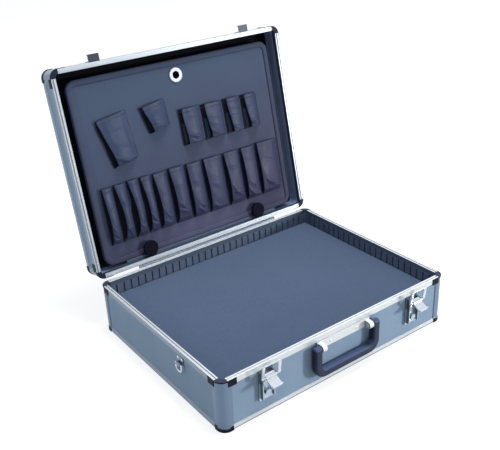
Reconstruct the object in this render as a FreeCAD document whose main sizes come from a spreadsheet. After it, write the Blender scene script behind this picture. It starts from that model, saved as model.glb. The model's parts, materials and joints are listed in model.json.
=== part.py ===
import FreeCAD, Part
import math
import os
import re

import Sketcher
from FreeCAD import Placement, Rotation, Vector

# Aluminium-framed tool case, standing open on its underside.
# Z is up, X runs along the width, the latches and the handle are at the front, towards -Y.
# The origin is the middle of the underside. All sizes are in millimetres and degrees.
# The lid is drawn closed on the base and then swung open about the hinge pin.

SIZES = {
    # case and frame
    "case_width": 457.0,
    "case_depth": 355.0,
    "base_height": 88.0,
    "lid_height": 40.0,
    "lid_open_angle": 101.9,
    "parting_gap": 0.4,
    "corner_radius": 14.0,
    "frame_gauge": 1.2,
    "board": 4.0,
    "rim_width": 8.0,
    "rim_height": 9.0,
    "rim_web": 3.5,
    "groove_inset": 3.0,
    "groove_width": 2.2,
    "groove_depth": 1.8,
    "tongue_clearance": 0.4,
    "edge_rise": 9.0,
    "edge_foot": 14.0,
    "edge_chamfer": 1.0,
    "post_flange": 6.0,
    # corner caps
    "cap_proud": 0.8,
    "cap_plate": 2.2,
    "rim_ear_length": 14.5,
    "rim_ear_height": 11.0,
    "outer_ear_length": 5.0,
    "outer_ear_height": 8.0,
    "outer_cap_rise": 5.0,
    # inside of the base
    "divider": 3.5,
    "slot_width": 3.0,
    "slot_depth": 2.0,
    "slot_pitch": 14.0,
    "foam_thickness": 57.0,
    "foam_clearance": 0.5,
    "foam_corner": 6.0,
    "foam_crown": 2.5,
    # piano hinge
    "hinge_end_gap": 78.5,
    "knuckle_count": 15,
    "knuckle_radius": 3.0,
    "knuckle_gap": 0.3,
    "hinge_clearance": 0.2,
    "hinge_pin_radius": 1.5,
    "hinge_leaf": 1.2,
    "hinge_leaf_width": 16.0,
    "hinge_web": 2.1,
    "stop_from_end": 32.0,
    "stop_length": 16.0,
    "stop_inset": 1.0,
    "stop_reach": 8.0,
    "stop_gap": 0.25,
    "stop_thickness": 3.0,
    "stop_knuckle_gap": 0.6,
    "stop_foot_margin": 3.0,
    # latches
    "latch_from_end": 78.5,
    "latch_plate_width": 26.0,
    "latch_plate_height": 51.5,
    "latch_plate_gauge": 1.5,
    "latch_plate_margin": 1.5,
    "cheek_gauge": 1.5,
    "cheek_height": 42.0,
    "latch_ear_radius": 3.5,
    "latch_pivot_out": 7.0,
    "latch_pivot_drop": 16.0,
    "latch_pin_radius": 2.0,
    "lever_width": 18.0,
    "lever_clearance": 0.5,
    "lever_barrel_radius": 3.0,
    "lever_length": 22.0,
    "lever_gauge": 2.0,
    "lever_standoff": 0.6,
    "lever_lip": 3.0,
    "lever_open_angle": 60.0,
    "loop_arm": 5.0,
    "loop_arm_angle": 30.0,
    "loop_lug_radius": 2.6,
    "loop_wire_radius": 1.4,
    "loop_stub": 3.0,
    "loop_strap": 4.0,
    "loop_tilt": 8.0,
    "lock_radius": 5.0,
    "lock_height": 6.0,
    "lock_drop": 32.0,
    # lid catches
    "catch_width": 20.0,
    "catch_gauge": 1.5,
    "catch_height": 15.6,
    "catch_rise": 4.6,
    "catch_clearance": 0.4,
    # handle
    "handle_pivot_out": 7.5,
    "handle_pivot_drop": 18.0,
    "handle_pin_radius": 2.5,
    "bracket_width": 108.0,
    "bracket_gauge": 2.0,
    "bracket_margin": 2.0,
    "bracket_rim_gap": 0.5,
    "bracket_lug": 8.0,
    "bracket_lug_radius": 6.0,
    "handle_side_clearance": 0.6,
    "handle_pin_cover": 3.0,
    "handle_pin_end_gap": 0.4,
    "handle_leg": 13.4,
    "handle_thickness": 12.0,
    "handle_drop": 50.0,
    "handle_bar": 14.0,
    "handle_outer_round": 20.0,
    "handle_inner_round": 9.0,
    "handle_edge_round": 3.5,
    # strap rings
    "strap_from_front": 102.5,
    "strap_drop": 22.0,
    "anchor_width": 17.0,
    "anchor_height": 16.0,
    "anchor_gauge": 1.5,
    "anchor_margin": 1.0,
    "anchor_barrel_radius": 2.9,
    "anchor_barrel_length": 9.5,
    "anchor_barrel_sink": 0.2,
    "ring_wire_radius": 1.5,
    "ring_width": 15.0,
    "ring_straight": 5.0,
    # running fits
    "running_fit": 0.05,
    "tight_fit": 0.02,
    # tool pallet in the lid
    "lid_lining": 1.5,
    "pallet_side_gap": 25.5,
    "pallet_front_gap": 24.5,
    "pallet_rear_gap": 14.5,
    "pallet_depth": 13.0,
    "pallet_gauge": 4.0,
    "pallet_corner": 16.0,
    "binding_gauge": 1.2,
    "binding_width": 8.0,
    "binding_notch": 1.0,
    "spacer_side_inset": 18.0,
    "spacer_width": 14.0,
    "spacer_top_inset": 50.0,
    "spacer_bottom_inset": 41.0,
    # eyelet
    "eyelet_inset": 25.0,
    "eyelet_radius": 14.0,
    "eyelet_back_radius": 12.0,
    "eyelet_hole_radius": 6.5,
    "eyelet_barrel": 1.0,
    "eyelet_proud": 2.4,
    "eyelet_round": 1.4,
    # turn knobs
    "knob_side_inset": 84.0,
    "knob_inset": 8.0,
    "knob_radius": 14.0,
    "knob_thickness": 5.6,
    "knob_rim_clearance": 1.0,
    "knob_round": 1.6,
    "knob_stem_radius": 5.0,
    "cam_length": 13.0,
    "cam_width": 8.0,
    "cam_gauge": 3.0,
    "cam_clearance": 0.3,
    "keeper_side_gap": 63.5,
    "keeper_height": 5.0,
    "keeper_clearance": 0.8,
    # pockets, placed from the upper left corner of the pallet as seen with the lid open
    "pocket_gauge": 1.0,
    "pocket_seam": 1.0,
    "pocket_mouth_bulge": 9.0,
    "pocket_belly_bulge": 10.0,
    "pocket_foot_bulge": 2.6,
    "pocket_belly_at": 0.4,
    "large_pocket_x": 62.0,
    "large_pocket_y": 66.4,
    "large_pocket_width": 58.0,
    "large_pocket_foot": 47.0,
    "large_pocket_length": 86.0,
    "small_pocket_x": 143.3,
    "small_pocket_y": 61.7,
    "small_pocket_width": 49.0,
    "small_pocket_foot": 40.0,
    "small_pocket_length": 49.0,
    "loose_pocket_lean": 9.0,
    "upper_row_x": 193.0,
    "upper_row_y": 85.0,
    "upper_row_length": 65.0,
    "upper_pocket_one": 46.0,
    "upper_pocket_two": 48.0,
    "upper_pocket_three": 40.0,
    "upper_pocket_four": 36.0,
    "lower_row_x": 17.0,
    "lower_row_y": 181.5,
    "lower_row_length": 102.0,
    "lower_row_foot_gap": 32.5,
    "lower_pocket_one": 23.0,
    "lower_pocket_two": 26.0,
    "lower_pocket_three": 25.0,
    "lower_pocket_four": 25.0,
    "lower_pocket_five": 33.0,
    "lower_pocket_six": 37.0,
    "lower_pocket_seven": 36.0,
    "lower_pocket_eight": 45.0,
    "lower_pocket_nine": 40.0,
    "lower_pocket_ten": 37.0,
    "lower_pocket_eleven": 49.0,
    "lower_row_end_gap": 13.0,
    # rivets
    "rivet_radius": 2.4,
    "rivet_height": 1.0,
    "rivet_margin": 3.5,
    "catch_rivet_spacing": 12.0,
    # overshoot of cutting tools
    "overcut": 1.0,
}

doc = FreeCAD.newDocument("tool_case")
sheet = doc.addObject("Spreadsheet::Sheet", "Sizes")
for row, (alias, number) in enumerate(SIZES.items(), start=1):
    sheet.set(f"A{row}", alias)
    sheet.set(f"B{row}", str(number))
    sheet.setAlias(f"B{row}", alias)
doc.recompute()

ALIAS = re.compile(r"\b(" + "|".join(SIZES) + r")\b")
NODES = []


# Helpers: formulas, primitives, sketched bodies and groups

def formula(text):
    return ALIAS.sub(r"Sizes.\1", text)


def bind(thing, **formulas):
    for name, text in formulas.items():
        thing.setExpression(name.replace("__", "."), formula(text))
    return thing


def slab(name, x, y, z):
    box = doc.addObject("Part::Box", name)
    bind(box, Length=f"({x[1]}) - ({x[0]})", Width=f"({y[1]}) - ({y[0]})", Height=f"({z[1]}) - ({z[0]})")
    bind(box, Placement__Base__x=x[0], Placement__Base__y=y[0], Placement__Base__z=z[0])
    return box


TURNED = {
    "X": Rotation(Vector(0, 1, 0), 90),
    "Y": Rotation(Vector(1, 0, 0), -90),
    "Z": Rotation(),
}


def rod(name, along, start, radius, length):
    pin = doc.addObject("Part::Cylinder", name)
    pin.Placement = Placement(Vector(), TURNED[along])
    bind(pin, Radius=radius, Height=length)
    bind(pin, Placement__Base__x=start[0], Placement__Base__y=start[1], Placement__Base__z=start[2])
    return pin


def plane_sketch(body, name, plane, start):
    sketch = body.newObject("Sketcher::SketchObject", name)
    support = [item for item in body.Origin.OriginFeatures if item.Role == plane][0]
    sketch.AttachmentSupport = [(support, "")]
    sketch.MapMode = "FlatFace"
    bind(sketch, AttachmentOffset__Base__z=start)
    return sketch


def fix_point(sketch, geometry, corner, where, at):
    across = sketch.addConstraint(Sketcher.Constraint("DistanceX", -1, 1, geometry, corner, at.x))
    sketch.setExpression(f"Constraints[{across}]", formula(where[0]))
    up = sketch.addConstraint(Sketcher.Constraint("DistanceY", -1, 1, geometry, corner, at.y))
    sketch.setExpression(f"Constraints[{up}]", formula(where[1]))


def draw_outline(sketch, outline):
    count = len(outline)
    turn = 2 * math.pi / count
    spots = [Vector(20 * math.cos(i * turn), 20 * math.sin(i * turn), 0) for i in range(count)]
    for i in range(count):
        sketch.addGeometry(Part.LineSegment(spots[i], spots[(i + 1) % count]), False)
    for i in range(count):
        sketch.addConstraint(Sketcher.Constraint("Coincident", i, 2, (i + 1) % count, 1))
    for i in range(count):
        fix_point(sketch, i, 1, outline[i], spots[i])


def pad_sketch(body, sketch, name, length):
    pad = body.newObject("PartDesign::Pad", name)
    pad.Profile = sketch
    bind(pad, Length=length)
    body.Tip = pad
    return pad


def prism(name, plane, outline, start, length):
    body = doc.addObject("PartDesign::Body", name)
    sketch = plane_sketch(body, name + "_outline", plane, start)
    draw_outline(sketch, outline)
    pad_sketch(body, sketch, name + "_pad", length)
    return body


def drum(name, plane, centre, radius, start, length):
    body = doc.addObject("PartDesign::Body", name)
    sketch = plane_sketch(body, name + "_outline", plane, start)
    ring = sketch.addGeometry(Part.Circle(Vector(5, 5, 0), Vector(0, 0, 1), 3), False)
    fix_point(sketch, ring, 3, centre, Vector(5, 5, 0))
    size = sketch.addConstraint(Sketcher.Constraint("Radius", ring, 3))
    sketch.setExpression(f"Constraints[{size}]", formula(radius))
    pad_sketch(body, sketch, name + "_pad", length)
    return body


def round_edges(body, radius, chosen):
    doc.recompute()
    tip = body.Tip
    names = [f"Edge{i}" for i, edge in enumerate(tip.Shape.Edges, start=1) if chosen(edge)]
    fillet = body.newObject("PartDesign::Fillet", body.Name + "_round")
    fillet.Base = (tip, names)
    bind(fillet, Radius=radius)
    body.Tip = fillet
    return body


def runs_along(direction):
    def chosen(edge):
        if not isinstance(edge.Curve, Part.Line):
            return False
        return abs(edge.Curve.Direction.dot(direction)) > 0.999
    return chosen


def rectangle(x, y):
    return [(x[0], y[0]), (x[1], y[0]), (x[1], y[1]), (x[0], y[1])]


def about(middle, half):
    return (f"({middle}) - ({half})", f"({middle}) + ({half})")


def rounded_slab(name, x, y, z, radius):
    body = prism(name, "XY_Plane", rectangle(x, y), z[0], f"({z[1]}) - ({z[0]})")
    return round_edges(body, radius, runs_along(Vector(0, 0, 1)))


def fuse(name, *things):
    joined = doc.addObject("Part::MultiFuse", name)
    joined.Shapes = list(things)
    joined.Refine = True
    return joined


def cut(name, base, *tools):
    carved = doc.addObject("Part::Cut", name)
    carved.Base = base
    carved.Tool = tools[0] if len(tools) == 1 else fuse(name + "_tools", *tools)
    carved.Refine = True
    return carved


def group(name, *things):
    together = doc.addObject("Part::Compound", name)
    together.Links = list(things)
    return together


def mirrored(thing, normal):
    image = doc.addObject("Part::Mirroring", thing.Name + "_image")
    image.Source = thing
    image.Base = Vector()
    image.Normal = normal
    return image


def both_sides(name, thing, normal):
    return group(name, thing, mirrored(thing, normal))


def four_corners(name, thing):
    beside = mirrored(thing, Vector(1, 0, 0))
    behind = mirrored(thing, Vector(0, 1, 0))
    across = mirrored(beside, Vector(0, 1, 0))
    return group(name, thing, beside, behind, across)


def node(thing, name):
    thing.Label = name
    NODES.append(thing)
    return thing


HINGE_Y = "(case_depth / 2 + knuckle_radius + hinge_clearance)"
HINGE_Z = "(base_height + parting_gap / 2)"
HINGE_HALF = "(case_width / 2 - hinge_end_gap)"


def lid_node(thing, name):
    swing = "rotation(vector(-1; 0; 0); lid_open_angle)"
    bind(thing, Placement=f"placement(vector(0; 0; 0); {swing}; vector(0; {HINGE_Y}; {HINGE_Z}))")
    return node(thing, name)


# Frame and boards, the same build for the base and for the lid.
# In a half of the case, depth s is measured inwards from the envelope and rise t from the
# outer face (underside of the base, top of the lid) towards the rim.

class Half:
    def __init__(self, name, tall, upward, keep):
        self.name = name
        self.tall = tall
        self.upward = upward
        self.keep = keep

    def level(self, rise):
        return f"({rise})" if self.upward else f"(base_height + lid_height - ({rise}))"

    def span(self, low, high):
        ends = (self.level(low), self.level(high))
        return ends if self.upward else (ends[1], ends[0])


SIDES = {
    "front": ("YZ_Plane", "-case_depth / 2 + ({s})", "(case_width / 2 - corner_radius)"),
    "rear": ("YZ_Plane", "case_depth / 2 - ({s})", "(case_width / 2 - corner_radius)"),
    "left": ("XZ_Plane", "-case_width / 2 + ({s})", "(case_depth / 2 - corner_radius)"),
    "right": ("XZ_Plane", "case_width / 2 - ({s})", "(case_depth / 2 - corner_radius)"),
}
WALL = "(frame_gauge + board)"


def bar(half, name, side, profile):
    plane, across, reach = SIDES[side]
    outline = [(across.format(s=s), half.level(t)) for s, t in profile]
    return prism(name, plane, outline, f"-{reach}", f"2 * {reach}")


def rim_profile(tall, has_groove):
    profile = [
        ("0", f"{tall} - rim_height"),
        ("frame_gauge", f"{tall} - rim_height"),
        ("frame_gauge", f"{tall} - rim_web"),
        (WALL, f"{tall} - rim_web"),
        (WALL, f"{tall} - rim_height"),
        ("rim_width", f"{tall} - rim_height"),
        ("rim_width", tall),
    ]
    near, far = "groove_inset", "groove_inset + groove_width"
    lip = f"{tall} - groove_depth"
    if not has_groove:
        near, far = near + " + tongue_clearance", far + " - tongue_clearance"
        lip = f"{tall} + parting_gap + groove_depth - tongue_clearance"
    profile += [(far, tall), (far, lip), (near, lip), (near, tall), ("0", tall)]
    return profile


def corner_ring(half, name, outer, inner, low, high):
    z = half.span(low, high)
    tall = f"({z[1]}) - ({z[0]})"
    middle = ("-case_width / 2 + corner_radius", "-case_depth / 2 + corner_radius", z[0])
    quarter = rod(name + "_quarter", "Z", middle, outer, tall)
    quarter.Angle = 90
    quarter.Placement = Placement(quarter.Placement.Base, Rotation(Vector(0, 0, 1), 180))
    bore = rod(name + "_bore", "Z", middle, inner, tall)
    return cut(name, quarter, bore)


def build_frame(half):
    name, tall = half.name, half.tall
    for side in SIDES:
        wall = [("frame_gauge", "frame_gauge"), (WALL, "frame_gauge")]
        wall += [(WALL, f"{tall} - rim_web"), ("frame_gauge", f"{tall} - rim_web")]
        half.keep(bar(half, f"{name}_{side}_panel", side, wall), f"{name}_{side}_panel")
        rim = bar(half, f"{name}_rim_{side}", side, rim_profile(tall, half.upward))
        half.keep(rim, f"{name}_rim_{side}")

    angle_profile = [
        ("0", "edge_chamfer"), ("edge_chamfer", "0"), ("edge_foot", "0"), ("edge_foot", "frame_gauge"),
        ("frame_gauge", "frame_gauge"), ("frame_gauge", "edge_rise"), ("0", "edge_rise"),
    ]
    angles = [bar(half, f"{name}_angle_{side}", side, angle_profile) for side in SIDES]
    half.keep(group(f"{name}_edge_angles", *angles), f"{name}_edge_angles")

    inside = "corner_radius - " + WALL
    broad = rounded_slab(
        f"{name}_board", about("0", f"case_width / 2 - {WALL}"), about("0", f"case_depth / 2 - {WALL}"),
        half.span("frame_gauge", WALL), inside)
    narrow = slab(
        f"{name}_board_face", about("0", "case_width / 2 - edge_foot"),
        about("0", "case_depth / 2 - edge_foot"), half.span("0", "frame_gauge"))
    floor_name = "base_bottom_panel" if half.upward else "lid_top_panel"
    half.keep(fuse(floor_name, broad, narrow), floor_name)

    left, front = "-case_width / 2", "-case_depth / 2"
    past_x, past_y = f"{left} + corner_radius", f"{front} + corner_radius"

    post = corner_ring(half, f"{name}_post", "corner_radius", inside, "frame_gauge", f"{tall} - cap_plate")
    flange_z = half.span("edge_rise", f"{tall} - rim_height")
    along_x = (past_x, f"{past_x} + post_flange")
    along_y = (past_y, f"{past_y} + post_flange")
    flange_x = slab(f"{name}_post_flange_x", along_x, (front, f"{front} + frame_gauge"), flange_z)
    flange_y = slab(f"{name}_post_flange_y", (left, f"{left} + frame_gauge"), along_y, flange_z)
    whole = fuse(f"{name}_post_whole", post, flange_x, flange_y)
    half.keep(four_corners(f"{name}_corner_posts", whole), f"{name}_corner_posts")

    proud = "corner_radius + cap_proud"
    over_rim = corner_ring(
        half, f"{name}_rim_cap_plate", proud, "corner_radius - rim_width", f"{tall} - cap_plate", tall)
    ear_z = half.span(f"{tall} - rim_ear_height", tall)
    ear_x = slab(
        f"{name}_rim_ear_x", (past_x, f"{past_x} + rim_ear_length"), (f"{front} - cap_proud", front), ear_z)
    ear_y = slab(
        f"{name}_rim_ear_y", (f"{left} - cap_proud", left), (past_y, f"{past_y} + rim_ear_length"), ear_z)
    cap = fuse(f"{name}_rim_cap", over_rim, ear_x, ear_y)
    half.keep(four_corners(f"{name}_rim_caps", cap), f"{name}_rim_caps")

    sole = corner_ring(
        half, f"{name}_outer_cap_sole", proud, "corner_radius - rim_width", "0", "frame_gauge")
    cup = corner_ring(half, f"{name}_outer_cap_cup", proud, "corner_radius", "0", "outer_cap_rise")
    foot_z = half.span("0", "outer_ear_height")
    along_x = (past_x, f"{past_x} + outer_ear_length")
    along_y = (past_y, f"{past_y} + outer_ear_length")
    foot_x = slab(f"{name}_outer_ear_x", along_x, (f"{front} - cap_proud", front), foot_z)
    foot_y = slab(f"{name}_outer_ear_y", (f"{left} - cap_proud", left), along_y, foot_z)
    shoe = fuse(f"{name}_outer_cap", sole, cup, foot_x, foot_y)
    caps_name = "base_bottom_caps" if half.upward else "lid_outer_caps"
    half.keep(four_corners(caps_name, shoe), caps_name)


BASE = Half("base", "base_height", True, node)
LID = Half("lid", "(lid_height - parting_gap)", False, lid_node)
build_frame(BASE)
build_frame(LID)


# Slotted divider walls and the foam pad in the base

def slotted_wall(side, axis):
    low, high = WALL, "base_height - rim_height"
    plate = [(WALL, low), (f"{WALL} + divider", low), (f"{WALL} + divider", high), (WALL, high)]
    body = bar(BASE, f"divider_{side}", side, plate)
    across, reach = SIDES[side][1], SIDES[side][2]
    room = SIZES["case_width" if axis == "X" else "case_depth"] - 2 * SIZES["corner_radius"]
    count = int(room // SIZES["slot_pitch"])
    along = about(f"-slot_pitch * {(count - 1) / 2}", "slot_width / 2")
    into = (across.format(s=f"{WALL} + divider - slot_depth"), across.format(s=f"{WALL} + divider + overcut"))
    sketch = plane_sketch(body, f"divider_{side}_slot", "XY_Plane", high)
    draw_outline(sketch, rectangle(along, into) if axis == "X" else rectangle(into, along))
    slot = body.newObject("PartDesign::Pocket", f"divider_{side}_pocket")
    slot.Profile = sketch
    bind(slot, Length=f"{high} - {low}")
    pattern = body.newObject("PartDesign::LinearPattern", f"divider_{side}_slots")
    pattern.Originals = [slot]
    line = [item for item in body.Origin.OriginFeatures if item.Role == f"{axis}_Axis"][0]
    pattern.Direction = (line, [""])
    pattern.Occurrences = count
    bind(pattern, Length=f"slot_pitch * {count - 1}")
    body.Tip = pattern
    return body


divider_front = slotted_wall("front", "X")
divider_left = slotted_wall("left", "Y")
node(group("divider_walls", divider_front, mirrored(divider_front, Vector(0, 1, 0)),
           divider_left, mirrored(divider_left, Vector(1, 0, 0))), "divider_walls")

foam_inset = f"{WALL} + divider + foam_clearance"
foam = rounded_slab(
    "foam_pad", about("0", f"case_width / 2 - ({foam_inset})"),
    about("0", f"case_depth / 2 - ({foam_inset})"), (WALL, f"{WALL} + foam_thickness"), "foam_corner")
foam_top = SIZES["frame_gauge"] + SIZES["board"] + SIZES["foam_thickness"]
round_edges(foam, "foam_crown", lambda edge: edge.BoundBox.ZMin > foam_top - 0.01)
node(foam, "foam_pad")


# Piano hinge: two leaves with turned knuckles on one pin, and stops on the base leaf

def hinge_leaf(half, first):
    name = f"hinge_{half.name}_leaf"
    sign = "-" if half.upward else "+"
    face = ("case_depth / 2", "case_depth / 2 + hinge_leaf")
    near = f"{HINGE_Z} {sign} knuckle_radius"
    far = f"{HINGE_Z} {sign} hinge_leaf_width"
    z = (far, near) if half.upward else (near, far)
    pieces = [slab(f"{name}_plate", about("0", HINGE_HALF), face, z)]
    pitch = f"2 * {HINGE_HALF} / knuckle_count"
    web_z = (near, HINGE_Z) if half.upward else (HINGE_Z, near)
    web_y = ("case_depth / 2", "case_depth / 2 + hinge_web")
    for index in range(first, int(SIZES["knuckle_count"]), 2):
        start = f"-{HINGE_HALF} + {index} * {pitch} + knuckle_gap / 2"
        length = f"{pitch} - knuckle_gap"
        pieces.append(rod(f"{name}_knuckle", "X", (start, HINGE_Y, HINGE_Z), "knuckle_radius", length))
        pieces.append(slab(f"{name}_web", (start, f"{start} + {length}"), web_y, web_z))
    return pieces


def hinge_bore(name, fit):
    start = (f"-{HINGE_HALF} - overcut", HINGE_Y, HINGE_Z)
    return rod(name, "X", start, f"hinge_pin_radius + {fit}", f"2 * ({HINGE_HALF} + overcut)")


def stop_outline():
    u = "(stop_gap + hinge_leaf - knuckle_radius - hinge_clearance)"
    near = "(knuckle_radius + stop_inset)"
    far = "(knuckle_radius + stop_inset + stop_reach)"

    def seat(w, drop):
        y = f"{HINGE_Y} + {u} * cos(lid_open_angle) + {w} * sin(lid_open_angle)"
        z = f"{HINGE_Z} - {u} * sin(lid_open_angle) + {w} * cos(lid_open_angle) - {drop}"
        return (y, z)

    under = f"{HINGE_Z} - knuckle_radius - stop_knuckle_gap"
    inner = "case_depth / 2 + hinge_leaf"
    return [
        (inner, under), (seat(near, "0")[0], under), seat(near, "0"), seat(far, "0"),
        seat(far, "stop_thickness"), (inner, f"{HINGE_Z} - hinge_leaf_width + stop_foot_margin"),
    ]


stop_start = f"{HINGE_HALF} - stop_from_end - stop_length"
stop = prism("hinge_stop", "YZ_Plane", stop_outline(), stop_start, "stop_length")
base_leaf = fuse("hinge_base_leaf_whole", *hinge_leaf(BASE, 0), stop, mirrored(stop, Vector(1, 0, 0)))
node(cut("hinge_base_leaf", base_leaf, hinge_bore("base_leaf_bore", "tight_fit")), "hinge_base_leaf")
lid_leaf = fuse("hinge_lid_leaf_whole", *hinge_leaf(LID, 1))
lid_node(cut("hinge_lid_leaf", lid_leaf, hinge_bore("lid_leaf_bore", "running_fit")), "hinge_lid_leaf")
pin_start = (f"-{HINGE_HALF}", HINGE_Y, HINGE_Z)
node(rod("hinge_pin", "X", pin_start, "hinge_pin_radius", f"2 * {HINGE_HALF}"), "hinge_pin")


# Latches: plate with cheeks, pin, lever and strap-sided loop on the base, catch on the lid.
# Distances out are measured forwards from the front envelope of the frame.

def out(distance):
    return f"(-case_depth / 2 - ({distance}))"


def ahead(near, far):
    return (out(far), out(near))


PIVOT_Z = "(base_height - latch_pivot_drop)"
PIVOT_Y = out("latch_pivot_out")
ARM_OUT = "(latch_pivot_out + loop_arm * sin(loop_arm_angle))"
ARM_Z = f"({PIVOT_Z} - loop_arm * cos(loop_arm_angle))"
BAR_Z = "(base_height + parting_gap + catch_gauge + loop_wire_radius + catch_clearance / 2)"
CHEEK_IN = "(lever_width / 2 + lever_clearance)"
CHEEK_OUT = f"({CHEEK_IN} + cheek_gauge)"
LOOP_SIDE = f"({CHEEK_OUT} + lever_clearance + loop_wire_radius)"
PLATE_TOP = "(base_height - rim_height - latch_plate_margin)"
PLATE_OUT = "(latch_plate_gauge - frame_gauge)"


def latch_plate(side, x):
    name = f"latch_plate_{side}"
    z = (f"{PLATE_TOP} - latch_plate_height", PLATE_TOP)
    pieces = [slab(f"{name}_sheet", about(x, "latch_plate_width / 2"), ahead("-frame_gauge", PLATE_OUT), z)]
    cheek_z = (f"{PIVOT_Z} - cheek_height", PIVOT_Z)
    for start in (f"{x} - {CHEEK_OUT}", f"{x} + {CHEEK_IN}"):
        ends = (start, f"{start} + cheek_gauge")
        pieces.append(slab(f"{name}_cheek", ends, ahead(PLATE_OUT, "latch_pivot_out"), cheek_z))
        pieces.append(slab(f"{name}_ear_root", ends, ahead(PLATE_OUT, "latch_pivot_out"),
                           (PIVOT_Z, f"{PIVOT_Z} + latch_ear_radius")))
        pieces.append(rod(f"{name}_ear", "X", (start, PIVOT_Y, PIVOT_Z), "latch_ear_radius", "cheek_gauge"))
    lock = (x, out(f"{PLATE_OUT} + lock_height"), f"{PIVOT_Z} - lock_drop")
    pieces.append(rod(f"{name}_lock", "Y", lock, "lock_radius", "lock_height"))
    bore = rod(f"{name}_bore", "X", (f"{x} - {CHEEK_OUT} - overcut", PIVOT_Y, PIVOT_Z),
               "latch_pin_radius + tight_fit", f"2 * ({CHEEK_OUT} + overcut)")
    return cut(name, fuse(f"{name}_whole", *pieces), bore)


def latch_lever(side, x):
    name = f"latch_lever_{side}"
    half = "lever_width / 2"
    start = f"{x} - {half}"
    barrel = rod(f"{name}_barrel", "X", (start, PIVOT_Y, PIVOT_Z), "lever_barrel_radius", "lever_width")
    lug = rod(f"{name}_lug", "X", (start, out(ARM_OUT), ARM_Z), "loop_lug_radius", "lever_width")
    back = "latch_pivot_out + lever_standoff"
    front = f"{back} + lever_gauge"
    foot = f"{PIVOT_Z} - lever_length"
    plate = slab(f"{name}_plate", about(x, half), ahead(back, front), (foot, PIVOT_Z))
    lip_z = (foot, f"{foot} + lever_gauge")
    lip = slab(f"{name}_lip", about(x, half), ahead(front, f"{front} + lever_lip"), lip_z)
    before, through = f"{start} - overcut", "lever_width + 2 * overcut"
    bore = rod(f"{name}_bore", "X", (before, PIVOT_Y, PIVOT_Z), "latch_pin_radius + running_fit", through)
    eye = rod(f"{name}_eye", "X", (before, out(ARM_OUT), ARM_Z), "loop_wire_radius + running_fit", through)
    lever = cut(name, fuse(f"{name}_whole", barrel, lug, plate, lip), bore, eye)
    turn = "rotation(vector(-1; 0; 0); lever_open_angle)"
    bind(lever, Placement=f"placement(vector(0; 0; 0); {turn}; vector(0; {PIVOT_Y}; {PIVOT_Z}))")
    return lever


def latch_loop(side, x):
    name = f"latch_loop_{side}"
    wire = "loop_wire_radius"
    y = out(ARM_OUT)
    left, right = f"{x} - {LOOP_SIDE}", f"{x} + {LOOP_SIDE}"
    stub = "lever_width / 2 - loop_stub"
    rise = f"{BAR_Z} - {ARM_Z}"
    pieces = [
        rod(f"{name}_stub", "X", (left, y, ARM_Z), wire, f"{LOOP_SIDE} - ({stub})"),
        rod(f"{name}_stub", "X", (f"{x} + {stub}", y, ARM_Z), wire, f"{LOOP_SIDE} - ({stub})"),
        rod(f"{name}_side", "Z", (left, y, ARM_Z), wire, rise),
        rod(f"{name}_side", "Z", (right, y, ARM_Z), wire, rise),
        rod(f"{name}_bar", "X", (left, y, BAR_Z), wire, f"2 * {LOOP_SIDE}"),
    ]
    for start in (f"{left} - loop_strap", right):
        ends = (start, f"{start} + loop_strap")
        pieces.append(slab(f"{name}_strap", ends, about(y, wire), (ARM_Z, BAR_Z)))
    for across in (left, right):
        for height in (ARM_Z, BAR_Z):
            bend = doc.addObject("Part::Sphere", f"{name}_bend")
            bind(bend, Radius=wire)
            bind(bend, Placement__Base__x=across, Placement__Base__y=y, Placement__Base__z=height)
            pieces.append(bend)
    loop = fuse(name, *pieces)
    swung = "(loop_arm_angle + lever_open_angle)"
    move_y = f"{out(f'latch_pivot_out + loop_arm * sin({swung})')} - {y}"
    move_z = f"{PIVOT_Z} - loop_arm * cos({swung}) - {ARM_Z}"
    turn = "rotation(vector(1; 0; 0); loop_tilt)"
    bind(loop, Placement=f"placement(vector(0; {move_y}; {move_z}); {turn}; vector(0; {y}; {ARM_Z}))")
    return loop


def lid_catch(side, x):
    low = "base_height + parting_gap"
    floor = f"{low} + catch_gauge"
    top = f"{low} + catch_height"
    lip = f"{low} + catch_rise"
    inner = f"{ARM_OUT} + loop_wire_radius + catch_clearance"
    outer = f"{inner} + catch_gauge"
    outline = [
        (out("0"), top), (out("0"), low), (out(outer), low), (out(outer), lip),
        (out(inner), lip), (out(inner), floor), (out("catch_gauge"), floor), (out("catch_gauge"), top),
    ]
    return prism(f"lid_catch_{side}", "YZ_Plane", outline, f"{x} - catch_width / 2", "catch_width")


LATCH_X = {"left": "(latch_from_end - case_width / 2)", "right": "(case_width / 2 - latch_from_end)"}
for side, x in LATCH_X.items():
    node(latch_plate(side, x), f"latch_plate_{side}")
    node(latch_lever(side, x), f"latch_lever_{side}")
    node(latch_loop(side, x), f"latch_loop_{side}")
    lid_node(lid_catch(side, x), f"lid_catch_{side}")
latch_pin = rod("latch_pin", "X", (f"{LATCH_X['left']} - {CHEEK_OUT}", PIVOT_Y, PIVOT_Z),
                "latch_pin_radius", f"2 * {CHEEK_OUT}")
node(both_sides("latch_pins", latch_pin, Vector(1, 0, 0)), "latch_pins")


# Carry handle on two pins in the lugs of its bracket

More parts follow.
